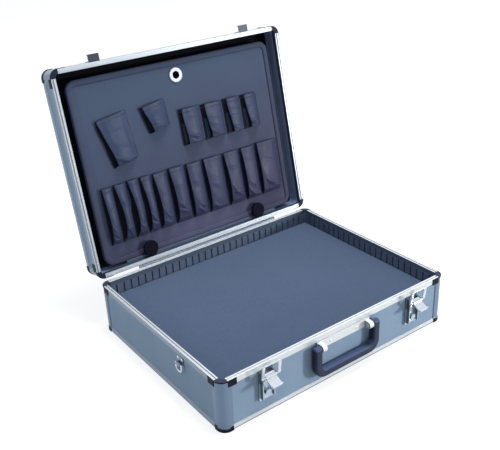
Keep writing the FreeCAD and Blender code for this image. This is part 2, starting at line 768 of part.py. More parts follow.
GRIP_Y = out("handle_pivot_out")
GRIP_Z = "(base_height - handle_pivot_drop)"
LUG_OUT = "(bracket_width / 2 - bracket_margin)"
LEG_IN = f"({LUG_OUT} + handle_side_clearance)"
LEG_OUT = f"({LEG_IN} + handle_leg)"
BRACKET_OUT = "(bracket_gauge - frame_gauge)"
bracket_z = (f"{GRIP_Z} - bracket_lug_radius", "base_height - rim_height - bracket_rim_gap")
bracket_x = about("0", "bracket_width / 2")
bracket_plate = slab("bracket_plate", bracket_x, ahead("-frame_gauge", BRACKET_OUT), bracket_z)
lug_x = (f"-{LUG_OUT}", f"-{LUG_OUT} + bracket_lug")
lug_root = slab("bracket_lug_root", lug_x, ahead(BRACKET_OUT, "handle_pivot_out"),
                about(GRIP_Z, "bracket_lug_radius"))
lug_eye = rod("bracket_lug_eye", "X", (lug_x[0], GRIP_Y, GRIP_Z), "bracket_lug_radius", "bracket_lug")
bracket_bore = rod("bracket_bore", "X", (f"-{LUG_OUT} - overcut", GRIP_Y, GRIP_Z),
                   "handle_pin_radius + tight_fit", f"2 * ({LUG_OUT} + overcut)")
bracket = fuse("bracket_whole", bracket_plate, lug_root, lug_eye,
               mirrored(lug_root, Vector(1, 0, 0)), mirrored(lug_eye, Vector(1, 0, 0)))
node(cut("handle_bracket", bracket, bracket_bore), "handle_bracket")

PIN_REACH = f"({LEG_OUT} - handle_pin_cover)"
handle_pin = rod("handle_pin", "X", (f"-{PIN_REACH}", GRIP_Y, GRIP_Z), "handle_pin_radius",
                 f"{PIN_REACH} - {LUG_OUT} + bracket_lug")
node(both_sides("handle_pins", handle_pin, Vector(1, 0, 0)), "handle_pins")

BAR_LOW = f"({GRIP_Z} - handle_drop)"
BAR_TOP = f"({BAR_LOW} + handle_bar)"
grip_outline = [
    (f"-{LEG_OUT}", BAR_LOW), (LEG_OUT, BAR_LOW), (LEG_OUT, GRIP_Z), (LEG_IN, GRIP_Z),
    (LEG_IN, BAR_TOP), (f"-{LEG_IN}", BAR_TOP), (f"-{LEG_IN}", GRIP_Z), (f"-{LEG_OUT}", GRIP_Z),
]
grip_back = "case_depth / 2 + handle_pivot_out - handle_thickness / 2"
grip = prism("grip", "XZ_Plane", grip_outline, grip_back, "handle_thickness")
bar_low = SIZES["base_height"] - SIZES["handle_pivot_drop"] - SIZES["handle_drop"]
bar_top = bar_low + SIZES["handle_bar"]
through = runs_along(Vector(0, 1, 0))
round_edges(grip, "handle_outer_round", lambda edge: through(edge) and edge.BoundBox.ZMax < bar_low + 0.01)
round_edges(grip, "handle_inner_round",
            lambda edge: through(edge) and abs(edge.BoundBox.ZMax - bar_top) < 0.01)
leg_top = SIZES["base_height"] - SIZES["handle_pivot_drop"]
round_edges(grip, "handle_edge_round",
            lambda edge: edge.BoundBox.YLength < 0.01 and edge.BoundBox.ZMin < leg_top - 0.01)
leg_eye = drum("grip_eye", "YZ_Plane", (GRIP_Y, GRIP_Z), "handle_thickness / 2", f"-{LEG_OUT}", "handle_leg")
round_edges(leg_eye, "handle_edge_round", lambda edge: isinstance(edge.Curve, Part.Circle))
leg_bore = rod("grip_bore", "X", (f"-{PIN_REACH} - handle_pin_end_gap", GRIP_Y, GRIP_Z),
               "handle_pin_radius + running_fit", f"{PIN_REACH} + handle_pin_end_gap - {LEG_IN} + overcut")
whole_grip = fuse("grip_whole", grip, leg_eye, mirrored(leg_eye, Vector(1, 0, 0)))
node(cut("carry_handle", whole_grip, leg_bore, mirrored(leg_bore, Vector(1, 0, 0))), "carry_handle")


# Strap rings: a plate with a barrel on each side wall, a D-ring turning in the barrel

STRAP_Y = "(strap_from_front - case_depth / 2)"
STRAP_Z = "(base_height - strap_drop)"
ANCHOR_OUT = "(anchor_gauge - frame_gauge)"
STRAP_X = f"(-case_width / 2 - {ANCHOR_OUT} - anchor_barrel_radius + anchor_barrel_sink)"
anchor_x = (f"-case_width / 2 - {ANCHOR_OUT}", "-case_width / 2 + frame_gauge")
anchor_top = "(base_height - rim_height - anchor_margin)"
anchor_plate = slab("anchor_plate", anchor_x, about(STRAP_Y, "anchor_width / 2"),
                    (f"{anchor_top} - anchor_height", anchor_top))
anchor_barrel = rod("anchor_barrel", "Y", (STRAP_X, f"{STRAP_Y} - anchor_barrel_length / 2", STRAP_Z),
                    "anchor_barrel_radius", "anchor_barrel_length")
anchor_bore = rod("anchor_bore", "Y", (STRAP_X, f"{STRAP_Y} - anchor_barrel_length / 2 - overcut", STRAP_Z),
                  "ring_wire_radius + running_fit", "anchor_barrel_length + 2 * overcut")
anchor = cut("anchor", fuse("anchor_whole", anchor_plate, anchor_barrel), anchor_bore)
node(both_sides("strap_anchors", anchor, Vector(1, 0, 0)), "strap_anchors")

ring_half = "(ring_width / 2)"
ring_bend = doc.addObject("Part::Torus", "ring_bend")
ring_bend.Angle3 = 180
hanging = Rotation(Vector(0, 1, 0), Vector(0, 0, -1), Vector(-1, 0, 0), "ZXY")
ring_bend.Placement = Placement(Vector(), hanging)
bind(ring_bend, Radius1=ring_half, Radius2="ring_wire_radius")
bind(ring_bend, Placement__Base__x=STRAP_X, Placement__Base__y=STRAP_Y,
     Placement__Base__z=f"{STRAP_Z} - ring_straight")
ring_pieces = [ring_bend]
ring_pieces.append(rod("ring_bar", "Y", (STRAP_X, f"{STRAP_Y} - {ring_half}", STRAP_Z),
                       "ring_wire_radius", "ring_width"))
for across in (f"{STRAP_Y} - {ring_half}", f"{STRAP_Y} + {ring_half}"):
    ring_pieces.append(rod("ring_side", "Z", (STRAP_X, across, f"{STRAP_Z} - ring_straight"),
                           "ring_wire_radius", "ring_straight"))
    elbow = doc.addObject("Part::Sphere", "ring_elbow")
    bind(elbow, Radius="ring_wire_radius")
    bind(elbow, Placement__Base__x=STRAP_X, Placement__Base__y=across, Placement__Base__z=STRAP_Z)
    ring_pieces.append(elbow)
ring = node(fuse("strap_ring_left", *ring_pieces), "strap_ring_left")
node(mirrored(ring, Vector(1, 0, 0)), "strap_ring_right")


# Inside of the lid: lining, spacers, bound pallet, eyelet, turn knobs and their keeper

LINING_TOP = f"(base_height + lid_height - {WALL})"
RIM_TOP = "(base_height + parting_gap + rim_height)"
outer_lining = rounded_slab(
    "lining_outer", about("0", f"case_width / 2 - {WALL}"), about("0", f"case_depth / 2 - {WALL}"),
    (RIM_TOP, LINING_TOP), f"corner_radius - {WALL}")
inner_lining = rounded_slab(
    "lining_inner", about("0", f"case_width / 2 - {WALL} - lid_lining"),
    about("0", f"case_depth / 2 - {WALL} - lid_lining"),
    (f"{RIM_TOP} - overcut", f"{LINING_TOP} - lid_lining"), f"corner_radius - {WALL} - lid_lining")
lid_node(cut("lid_liner", outer_lining, inner_lining), "lid_liner")

FACE_Z = "(base_height + pallet_depth)"
BACK_Z = f"({FACE_Z} + pallet_gauge)"
PALLET_HALF = "(case_width / 2 - pallet_side_gap)"
PALLET_FRONT = "(pallet_front_gap - case_depth / 2)"
PALLET_REAR = "(case_depth / 2 - pallet_rear_gap)"


def pallet_slab(name, margin, z, radius):
    x = about("0", f"{PALLET_HALF} + {margin}")
    y = (f"{PALLET_FRONT} - ({margin})", f"{PALLET_REAR} + {margin}")
    return rounded_slab(name, x, y, z, radius)


board = pallet_slab("pallet_board", "0", (FACE_Z, BACK_Z), "pallet_corner")
EYELET_Y = f"({PALLET_FRONT} + eyelet_inset)"
KNOB_Y = f"({PALLET_REAR} - knob_inset)"
BEFORE_FACE = f"{FACE_Z} - overcut"
THROUGH = "pallet_gauge + 2 * overcut"
eyelet_hole = rod("pallet_eyelet_hole", "Z", ("0", EYELET_Y, BEFORE_FACE),
                  "eyelet_hole_radius + eyelet_barrel", THROUGH)
KNOB_X = f"({PALLET_HALF} - knob_side_inset)"
knob_hole = rod("pallet_knob_hole", "Z", (f"-{KNOB_X}", KNOB_Y, BEFORE_FACE),
                "knob_stem_radius + running_fit", THROUGH)
pallet_holes = (eyelet_hole, knob_hole, mirrored(knob_hole, Vector(1, 0, 0)))
lid_node(cut("tool_pallet", board, *pallet_holes), "tool_pallet")

TAPE_LOW = f"({FACE_Z} - binding_gauge)"
TAPE_HIGH = f"({BACK_Z} + binding_gauge)"
tape = pallet_slab("binding_tape", "binding_gauge", (TAPE_LOW, TAPE_HIGH), "pallet_corner + binding_gauge")
window_z = (f"{TAPE_LOW} - overcut", f"{TAPE_HIGH} + overcut")
window = pallet_slab("binding_window", "(-binding_width)", window_z, "pallet_corner - binding_width")
notch = rod("stem_notch", "Z", (f"-{KNOB_X}", KNOB_Y, f"{TAPE_LOW} - overcut"),
            "knob_stem_radius + binding_notch", f"{TAPE_HIGH} - {TAPE_LOW} + 2 * overcut")
tape_cuts = (board, window, notch, mirrored(notch, Vector(1, 0, 0)))
lid_node(cut("pallet_binding", tape, *tape_cuts), "pallet_binding")

spacers = []
spacer_x = about("0", f"{PALLET_HALF} - spacer_side_inset")
for spacer_y in (f"{PALLET_FRONT} + spacer_top_inset", f"{PALLET_REAR} - spacer_bottom_inset"):
    spacers.append(slab("spacer", spacer_x, about(spacer_y, "spacer_width / 2"),
                        (BACK_Z, f"{LINING_TOP} - lid_lining")))
lid_node(group("pallet_spacers", *spacers), "pallet_spacers")

eyelet_front = drum("eyelet_front", "XY_Plane", ("0", EYELET_Y), "eyelet_radius",
                    f"{FACE_Z} - eyelet_proud", "eyelet_proud")
face_z = SIZES["base_height"] + SIZES["pallet_depth"]
round_edges(eyelet_front, "eyelet_round", lambda edge: edge.BoundBox.ZMax < face_z - 0.1)
eyelet_barrel = rod("eyelet_barrel_tube", "Z", ("0", EYELET_Y, FACE_Z),
                    "eyelet_hole_radius + eyelet_barrel", "pallet_gauge")
eyelet_back = rod("eyelet_back", "Z", ("0", EYELET_Y, BACK_Z), "eyelet_back_radius", "eyelet_barrel")
bore_start = ("0", EYELET_Y, f"{FACE_Z} - eyelet_proud - overcut")
eyelet_bore = rod("eyelet_bore", "Z", bore_start, "eyelet_hole_radius",
                  "eyelet_proud + pallet_gauge + eyelet_barrel + 2 * overcut")
eyelet = fuse("eyelet_whole", eyelet_front, eyelet_barrel, eyelet_back)
lid_node(cut("pull_eyelet", eyelet, eyelet_bore), "pull_eyelet")

KNOB_LOW = "(base_height + parting_gap + knob_rim_clearance)"
CAM_LOW = f"({TAPE_HIGH} + cam_clearance)"


def turn_knob(side, x):
    name = f"turn_knob_{side}"
    head = drum(f"{name}_head", "XY_Plane", (x, KNOB_Y), "knob_radius", KNOB_LOW, "knob_thickness")
    round_edges(head, "knob_round", lambda edge: isinstance(edge.Curve, Part.Circle))
    top = f"{CAM_LOW} + cam_gauge"
    stem_low = f"{KNOB_LOW} + knob_thickness"
    stem = rod(f"{name}_stem", "Z", (x, KNOB_Y, stem_low), "knob_stem_radius", f"{top} - ({stem_low})")
    cam = slab(f"{name}_cam", about(x, "cam_width / 2"), (KNOB_Y, f"{KNOB_Y} + cam_length"), (CAM_LOW, top))
    return fuse(name, head, stem, cam)


lid_node(turn_knob("left", f"(-{KNOB_X})"), "turn_knob_left")
lid_node(turn_knob("right", KNOB_X), "turn_knob_right")

keeper_high = f"{CAM_LOW} - cam_clearance"
keeper = slab("keeper_strip", about("0", "case_width / 2 - keeper_side_gap"),
              (f"{PALLET_REAR} + binding_gauge + keeper_clearance", f"case_depth / 2 - {WALL} - lid_lining"),
              (f"{keeper_high} - keeper_height", keeper_high))
lid_node(group("pallet_keeper", keeper), "pallet_keeper")


# Pockets: open sleeves standing on the face of the pallet, mouth up when the lid is open.
# Each is a loft through three bowed sections, hollowed by a second loft.

def bowed_section(width, bulge, along, behind):
    half = width / 2
    arc = Part.Arc(Vector(half, along, 0), Vector(0, along, -bulge), Vector(-half, along, 0)).toShape()
    left, right = Vector(-half, along, 0), Vector(half, along, 0)
    if not behind:
        return Part.Wire([arc, Part.makeLine(left, right)])
    corners = [left, Vector(-half, along, behind), Vector(half, along, behind), right]
    return Part.Wire([arc] + [Part.makeLine(a, b) for a, b in zip(corners, corners[1:])])


def pocket(x, y, width, foot, length, lean):
    gauge = SIZES["pocket_gauge"]
    belly = length * SIZES["pocket_belly_at"]
    belly_width = width + (foot - width) * SIZES["pocket_belly_at"]
    stations = [
        (0.0, width, SIZES["pocket_mouth_bulge"]),
        (belly, belly_width, SIZES["pocket_belly_bulge"]),
        (length, foot, SIZES["pocket_foot_bulge"]),
    ]
    skin = Part.makeLoft([bowed_section(w, b, at, 0) for at, w, b in stations], True, True)
    inner = [(at, w - 2 * gauge, b - gauge) for at, w, b in stations]
    inner[0] = (-SIZES["overcut"], inner[0][1], inner[0][2])
    inner[2] = (length - gauge, inner[2][1], inner[2][2])
    hollow = Part.makeLoft([bowed_section(w, b, at, SIZES["overcut"]) for at, w, b in inner], True, True)
    sleeve = skin.cut(hollow)
    face = SIZES["base_height"] + SIZES["pallet_depth"]
    sleeve.Placement = Placement(Vector(x, y, face), Rotation(Vector(0, 0, 1), -lean))
    return sleeve


def sewn(name, *sleeves):
    piece = doc.addObject("Part::Feature", name + "_sewn")
    piece.Shape = Part.makeCompound(sleeves)
    lid_node(group(name, piece), name)


UPPER = ("one", "two", "three", "four")
LOWER = UPPER + ("five", "six", "seven", "eight", "nine", "ten", "eleven")
pallet_left = SIZES["pallet_side_gap"] - SIZES["case_width"] / 2
pallet_top = SIZES["pallet_front_gap"] - SIZES["case_depth"] / 2
pallet_foot = SIZES["case_depth"] / 2 - SIZES["pallet_rear_gap"]
row_width = sum(SIZES[f"lower_pocket_{word}"] for word in LOWER)
row_room = SIZES["lower_row_x"] + row_width + SIZES["lower_row_end_gap"]
drop_room = SIZES["lower_row_y"] + SIZES["lower_row_length"] + SIZES["lower_row_foot_gap"]
fit_x = -2 * pallet_left / row_room
fit_y = (pallet_foot - pallet_top) / drop_room


def across_pallet(name):
    return fit_x * SIZES[name]


def down_pallet(name):
    return fit_y * SIZES[name]


def loose_pocket(name):
    width, foot = across_pallet(f"{name}_width"), across_pallet(f"{name}_foot")
    x, y = pallet_left + across_pallet(f"{name}_x"), pallet_top + down_pallet(f"{name}_y")
    return pocket(x, y, width, foot, down_pallet(f"{name}_length"), SIZES["loose_pocket_lean"])


def pocket_row(level, words):
    left, y = pallet_left + across_pallet(f"{level}_row_x"), pallet_top + down_pallet(f"{level}_row_y")
    sleeves = []
    for word in words:
        width = across_pallet(f"{level}_pocket_{word}")
        wide = width - SIZES["pocket_seam"]
        sleeves.append(pocket(left + width / 2, y, wide, wide, down_pallet(f"{level}_row_length"), 0.0))
        left += width
    return sleeves


sewn("pocket_large", loose_pocket("large_pocket"))
sewn("pocket_small", loose_pocket("small_pocket"))
sewn("pocket_row_upper", *pocket_row("upper", UPPER))
sewn("pocket_row_lower", *pocket_row("lower", LOWER))


# Rivet heads of the fittings

DOME = "((rivet_radius ^ 2 + rivet_height ^ 2) / (2 * rivet_height))"
SUNK = f"({DOME} - rivet_height)"


def rivet(spot, facing):
    head = doc.addObject("Part::Sphere", "rivet")
    head.Placement = Placement(Vector(), Rotation(Vector(0, 0, 1), facing))
    bind(head, Radius=DOME, Angle1=f"asin({SUNK} / {DOME})")
    x, y, z = (f"{place} - ({toward:g}) * {SUNK}" for place, toward in zip(spot, facing))
    bind(head, Placement__Base__x=x, Placement__Base__y=y, Placement__Base__z=z)
    return head


forward, backward, outward = Vector(0, -1, 0), Vector(0, 1, 0), Vector(-1, 0, 0)
base_heads = []
for x in LATCH_X.values():
    for height in (f"{PLATE_TOP} - latch_plate_height + rivet_margin", f"{PIVOT_Z} - lock_drop / 2"):
        base_heads.append(rivet((x, out(PLATE_OUT), height), forward))
for x in ("-bracket_width / 4", "bracket_width / 4"):
    base_heads.append(rivet((x, out(BRACKET_OUT), GRIP_Z), forward))
for across in about(STRAP_Y, "anchor_width / 2 - rivet_margin"):
    head = rivet((f"-case_width / 2 - {ANCHOR_OUT}", across, f"{anchor_top} - rivet_margin"), outward)
    base_heads += [head, mirrored(head, Vector(1, 0, 0))]
leaf_back = "case_depth / 2 + hinge_leaf"
leaf_rivets = [f"{HINGE_HALF} * {share}" for share in (-0.9, -0.3, 0.3, 0.9)]
for x in leaf_rivets:
    base_heads.append(rivet((x, leaf_back, f"{HINGE_Z} - hinge_leaf_width + rivet_margin"), backward))
node(group("base_rivets", *base_heads), "base_rivets")

lid_leaf_z = f"{HINGE_Z} + hinge_leaf_width - rivet_margin"
lid_heads = [rivet((x, leaf_back, lid_leaf_z), backward) for x in leaf_rivets]
for x in LATCH_X.values():
    for across in about(x, "catch_rivet_spacing / 2"):
        height = "base_height + parting_gap + catch_height - rivet_margin"
        lid_heads.append(rivet((across, out("catch_gauge"), height), forward))
lid_node(group("lid_rivets", *lid_heads), "lid_rivets")


# Check every object, then write one file for each piece

doc.recompute()
for thing in doc.Objects:
    if "Invalid" in thing.State or "Error" in thing.State:
        raise RuntimeError(f"{thing.Label} did not compute: {thing.State}")
for piece in NODES:
    if piece.Shape.isNull() or not piece.Shape.isValid() or not piece.Shape.Solids:
        raise RuntimeError(f"{piece.Label} has no valid solid")
os.makedirs("parts", exist_ok=True)
for piece in NODES:
    piece.Shape.exportStep(f"parts/{piece.Label}.step")
print(len(NODES), "pieces written")
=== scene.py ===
import json
import math

import bpy
import numpy as np
from mathutils import Matrix, Vector, noise


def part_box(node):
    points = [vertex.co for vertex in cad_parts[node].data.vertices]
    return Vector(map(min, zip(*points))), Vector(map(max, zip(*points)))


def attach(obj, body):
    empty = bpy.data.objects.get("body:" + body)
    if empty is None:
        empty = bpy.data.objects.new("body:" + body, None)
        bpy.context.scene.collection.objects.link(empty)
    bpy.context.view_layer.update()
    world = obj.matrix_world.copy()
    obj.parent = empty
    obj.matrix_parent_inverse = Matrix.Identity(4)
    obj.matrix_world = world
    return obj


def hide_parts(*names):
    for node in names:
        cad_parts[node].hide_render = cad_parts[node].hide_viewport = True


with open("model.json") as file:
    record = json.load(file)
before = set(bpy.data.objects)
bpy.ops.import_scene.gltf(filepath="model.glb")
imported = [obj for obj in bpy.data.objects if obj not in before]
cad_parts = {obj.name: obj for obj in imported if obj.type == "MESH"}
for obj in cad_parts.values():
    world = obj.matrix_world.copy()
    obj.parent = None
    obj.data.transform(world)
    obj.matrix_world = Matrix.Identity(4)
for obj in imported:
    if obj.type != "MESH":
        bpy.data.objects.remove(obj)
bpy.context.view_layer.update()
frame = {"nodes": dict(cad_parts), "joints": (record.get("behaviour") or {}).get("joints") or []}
NODES = frame["nodes"]
JOINTS = {joint["name"]: joint for joint in frame["joints"]}
MM = 0.001


# The lid stands open about its hinge. Pieces in the lid are built in the coordinates of the
# closed lid, where z is up and the pallet looks down, and LID_SWING then opens them.
HINGE = Vector(JOINTS["lid_hinge"]["pos_m"])
LID_OPEN = math.radians(JOINTS["lid_hinge"]["range_deg"][1])
LID_SWING = (Matrix.Translation(HINGE) @ Matrix.Rotation(-LID_OPEN, 4, "X")
             @ Matrix.Translation(-HINGE))
LID_TURN = LID_SWING.to_3x3()
LID_ALONG = LID_TURN @ Vector((0, 1, 0))
LID_UP = LID_TURN @ Vector((0, 0, 1))


# Finishes: one node material each, with textures measured in metres on the piece

ALONG_X, ALONG_Y, UPRIGHT = (1, 0, 0), (0, 1, 0), (0, 0, 1)
ALUMINIUM = (0.73, 0.765, 0.79)
# The lid's posts take a lighter copy of the posts' tone: painted light
POST_TONE, LID_POST_LIT_TONE = (0.175, 0.248, 0.352), (0.31, 0.355, 0.42)
# Painted contact shadow: the base's edge angles turn dark below this height, where they meet the
# floor
CONTACT_SHADOW_TONE, CONTACT_SHADOW_HEIGHT = (0.20, 0.25, 0.33), 2.8 * MM
# How far below the latch plate's top the painted shadow behind the lever reaches
LATCH_SHADOW_REACH = 21 * MM
# Radii between which painted shade sets in round the eyelet's outer edge, and between which painted
# shade darkens its bore
EYELET_SHADE_RADII, EYELET_BORE_SHADE_RADII = (12.2 * MM, 13.0 * MM), (8.0 * MM, 7.3 * MM)
# Where along the lid the vinyl turns from one grey to the other, and the radii of a paler patch
VINYL_FADE, PALE_PATCH_RADII = (-0.36, -0.10), (130 * MM, 40 * MM)


class Finish:
    """A material, and the textures that tint, polish and emboss it."""

    def __init__(self, name, color, roughness, metallic=0.0, **sockets):
        self.material = bpy.data.materials.new(name)
        self.material.use_nodes = True
        self.tree = self.material.node_tree
        self.shader = self.tree.nodes["Principled BSDF"]
        self.color = (*color, 1.0)
        self.normal = None
        self.shader.inputs["Base Color"].default_value = self.color
        self.shader.inputs["Roughness"].default_value = roughness
        self.shader.inputs["Metallic"].default_value = metallic
        for socket, value in sockets.items():
            self.shader.inputs[socket.replace("_", " ")].default_value = value
        self.place = self.add("TexCoord").outputs["Object"]

    def add(self, kind, inputs=None, **settings):
        node = self.tree.nodes.new("ShaderNode" + kind)
        for key, value in settings.items():
            setattr(node, key, value)
        for key, value in (inputs or {}).items():
            self.feed(node.inputs[key], value)
        return node

    def feed(self, socket, value):
        if isinstance(value, bpy.types.NodeSocket):
            self.tree.links.new(value, socket)
        else:
            socket.default_value = value

    def math(self, operation, first, second=0.0, third=0.0):
        return self.add("Math", {0: first, 1: second, 2: third}, operation=operation).outputs[0]

    def dot(self, first, second):
        node = self.add("VectorMath", {0: first, 1: second}, operation="DOT_PRODUCT")
        return node.outputs["Value"]

    def away_from(self, point):
        """Distance from a point of the piece."""
        node = self.add("VectorMath", {0: self.place, 1: tuple(point)}, operation="DISTANCE")
        return node.outputs["Value"]

    def noise(self, size, detail=3.0, where=None, roughness=0.5):
        inputs = {"Vector": where or self.place, "Scale": 1 / size,
                  "Detail": detail, "Roughness": roughness}
        return self.add("TexNoise", inputs).outputs["Fac"]

    def cells(self, size, feature="F1"):
        inputs = {"Vector": self.place, "Scale": 1 / size}
        return self.add("TexVoronoi", inputs, feature=feature).outputs["Distance"]

    def streaks(self, along, size, stretch=60.0):
        """Noise that is drawn out along one direction, as brushing or weave leaves it."""
        distance = self.dot(self.place, along)
        back = self.add("VectorMath", {0: along, "Scale": distance}, operation="SCALE").outputs[0]
        share = 1 - 1 / stretch
        shrunk = self.add("VectorMath", {0: back, "Scale": share}, operation="SCALE").outputs[0]
        where = self.add("VectorMath", {0: self.place, 1: shrunk}, operation="SUBTRACT").outputs[0]
        return self.noise(size, 2.0, where)

    def ribs(self, direction, pitch):
        """A sine between 0 and 1 along one direction."""
        turns = self.math("MULTIPLY", self.dot(self.place, direction), 2 * math.pi / pitch)
        return self.math("MULTIPLY_ADD", self.math("SINE", turns), 0.5, 0.5)

    def weave(self, pitch):
        """Threads that cross in the plane of the lid."""
        return self.math("MULTIPLY", self.ribs(ALONG_X, pitch), self.ribs(tuple(LID_ALONG), pitch))

    def band(self, mask, low, high):
        """From 0 to 1 while the mask goes from low to high."""
        inputs = {"Value": mask, "From Min": low, "From Max": high}
        return self.add("MapRange", inputs).outputs[0]

    def rounded(self, radius):
        return self.add("Bevel", {"Radius": radius}, samples=4).outputs[0]

    def edges(self, radius):
        """1 on outside and inside edges, 0 on open faces."""
        true = self.add("NewGeometry").outputs["Normal"]
        return self.band(self.dot(self.rounded(radius), true), 0.995, 0.85)

    def facing(self, direction, low, high):
        """From 0 to 1 over faces that look ever more along a direction of the piece."""
        normal = self.add("TexCoord").outputs["Normal"]
        return self.band(self.dot(normal, direction), low, high)

    def beyond(self, direction, level):
        """1 past a plane that lies across a direction, 0 before it."""
        blur = 0.1 * MM
        return self.band(self.dot(self.place, direction), level - blur, level + blur)

    def tint(self, color, mask, amount=1.0):
        share = self.math("MULTIPLY", mask, amount)
        mix = self.add("Mix", {0: share, 6: self.color, 7: (*color, 1.0)}, data_type="RGBA")
        self.color = mix.outputs[2]
        self.feed(self.shader.inputs["Base Color"], self.color)
        return self

    def polish(self, mask, low, high):
        inputs = {"Value": mask, "To Min": low, "To Max": high}
        self.feed(self.shader.inputs["Roughness"], self.add("MapRange", inputs).outputs[0])
        return self

    def soften(self, radius):
        self.normal = self.rounded(radius)
        self.feed(self.shader.inputs["Normal"], self.normal)
        return self

    def relief(self, height, depth, strength=1.0):
        inputs = {"Height": height, "Distance": depth, "Strength": strength}
        if self.normal:
            inputs["Normal"] = self.normal
        self.normal = self.add("Bump", inputs).outputs[0]
        self.feed(self.shader.inputs["Normal"], self.normal)
        return self


def scaled(color, factor):
    return tuple(min(1.0, factor * part) for part in color)


def panel_laminate():
    made = Finish("panel_laminate", (0.280, 0.390, 0.525), 0.5, Specular_IOR_Level=0.1)
    made.tint((0.240, 0.338, 0.468), made.band(made.noise(60 * MM, 4.0), 0.35, 0.7), 0.5)
    made.tint((0.39, 0.51, 0.64), made.band(made.noise(1.1 * MM, 2.0), 0.52, 0.7), 0.35)
    made.polish(made.noise(25 * MM), 0.5, 0.64)
    return made.relief(made.cells(1.3 * MM), 0.12 * MM, 0.4).material


def aluminium(name, along, color=ALUMINIUM, metallic=0.4, lined=None, foot=None, top=None):
    """Brushed along one direction; its left and right faces get painted shade in the posts' tone.

    A rim is dark past the plane that lined gives, an angle has a painted contact shadow below the
    height foot, and faces that look up have the tone top, which is painted top light.
    """
    made = Finish(name, color, 0.34, metallic, Specular_IOR_Level=0.15)
    lines = made.streaks(along, 0.5 * MM)
    made.tint(scaled(color, 0.86), made.band(made.noise(70 * MM), 0.4, 0.75), 0.4)
    made.tint(scaled(color, 1.1), made.edges(0.8 * MM), 0.6)
    # painted shade: faces that look left or right take the posts' darker tone
    for side in (-1, 1):
        made.tint(POST_TONE, made.facing((side, 0, 0), 0.75, 0.95), 0.85)
    # painted top light: faces that look up take a brighter tone
    if top:
        made.tint(top, made.facing(UPRIGHT, 0.7, 0.95))
    if lined:
        tone, way, level = lined
        made.tint(tone, made.beyond(way, level))
    # painted contact shadow along the bottom of the angle
    if foot:
        made.tint(CONTACT_SHADOW_TONE, made.beyond((0, 0, -1), -foot), 0.9)
    made.polish(lines, 0.27, 0.42)
    made.soften(0.35 * MM)
    return made.relief(lines, 0.02 * MM, 0.2).material


def cap_plastic(name, top, top_light):
    made = Finish(name, (0.005, 0.007, 0.015), 0.45, Specular_IOR_Level=0.08)
    made.tint((0.011, 0.014, 0.025), made.band(made.noise(9 * MM), 0.45, 0.7), 0.7)
    # painted top light: faces that look along top take a lighter tone
    made.tint(top_light, made.facing(top, 0.7, 0.95), 0.9)
    made.tint((0.05, 0.062, 0.095), made.edges(0.9 * MM), 0.3)
    made.polish(made.noise(4 * MM), 0.38, 0.55)
    made.soften(0.8 * MM)
    return made.relief(made.noise(0.5 * MM, 2.0), 0.03 * MM, 0.4).material


def divider_plastic():
    made = Finish("divider_plastic", (0.10, 0.135, 0.205), 0.62, Specular_IOR_Level=0.3)
    made.tint((0.075, 0.10, 0.155), made.band(made.noise(30 * MM), 0.4, 0.7), 0.5)
    made.tint((0.15, 0.19, 0.27), made.edges(0.7 * MM), 0.35)
    made.polish(made.noise(6 * MM), 0.52, 0.72)
    return made.relief(made.noise(0.7 * MM, 3.0), 0.06 * MM, 0.5).material


def foam_cells():
    made = Finish("foam_cells", (0.071, 0.112, 0.202), 0.95, Sheen_Weight=0.1, Sheen_Roughness=0.6)
    pores = made.cells(1.6 * MM, "SMOOTH_F1")
    # painted shade in the pores: the pits are darker than the cell walls
    made.tint((0.040, 0.063, 0.115), made.band(pores, 0.45, 0.15), 0.5)
    made.tint((0.105, 0.155, 0.26), made.band(made.noise(1.0 * MM, 4.0), 0.5, 0.75), 0.45)
    made.tint((0.064, 0.102, 0.186), made.band(made.noise(90 * MM), 0.45, 0.7), 0.5)
    made.tint((0.056, 0.088, 0.158), made.band(made.noise(5 * MM, 3.0), 0.5, 0.7), 0.35)
    made.relief(made.noise(1.2 * MM, 5.0, roughness=0.65), 0.35 * MM, 0.6)
    return made.relief(pores, 0.4 * MM, 0.5).material


def bright_metal(name, color, roughness, metallic=0.95):
    made = Finish(name, color, roughness, metallic)
    smudge = made.noise(7 * MM, 4.0)
    made.tint(scaled(color, 0.72), made.band(smudge, 0.5, 0.8), 0.5)
    made.tint(scaled(color, 1.15), made.edges(0.6 * MM), 0.6)
    made.polish(smudge, roughness - 0.07, roughness + 0.12)
    made.soften(0.35 * MM)
    return made.relief(made.noise(0.6 * MM, 2.0), 0.02 * MM, 0.3).material


def latch_plating(top):
    """Plated steel with a painted shadow behind the lever and painted shade on the sides of its
    cheeks.
    """
    made = Finish("latch_plating", (0.44, 0.53, 0.61), 0.3, 0.6)
    made.tint((0.40, 0.48, 0.56), made.band(made.noise(7 * MM, 4.0), 0.5, 0.8), 0.5)
    # painted shadow of the lever and loop on the plate's upper part
    made.tint((0.05, 0.065, 0.10), made.beyond(UPRIGHT, top - LATCH_SHADOW_REACH), 0.8)
    # painted shade on the cheeks' side faces
    for side in (-1, 1):
        made.tint((0.07, 0.09, 0.135), made.facing((side, 0, 0), 0.7, 0.95), 0.85)
    made.tint((0.75, 0.82, 0.88), made.edges(0.5 * MM), 0.4)
    made.polish(made.noise(5 * MM), 0.24, 0.42)
    made.soften(0.35 * MM)
    return made.relief(made.noise(0.6 * MM, 2.0), 0.02 * MM, 0.3).material


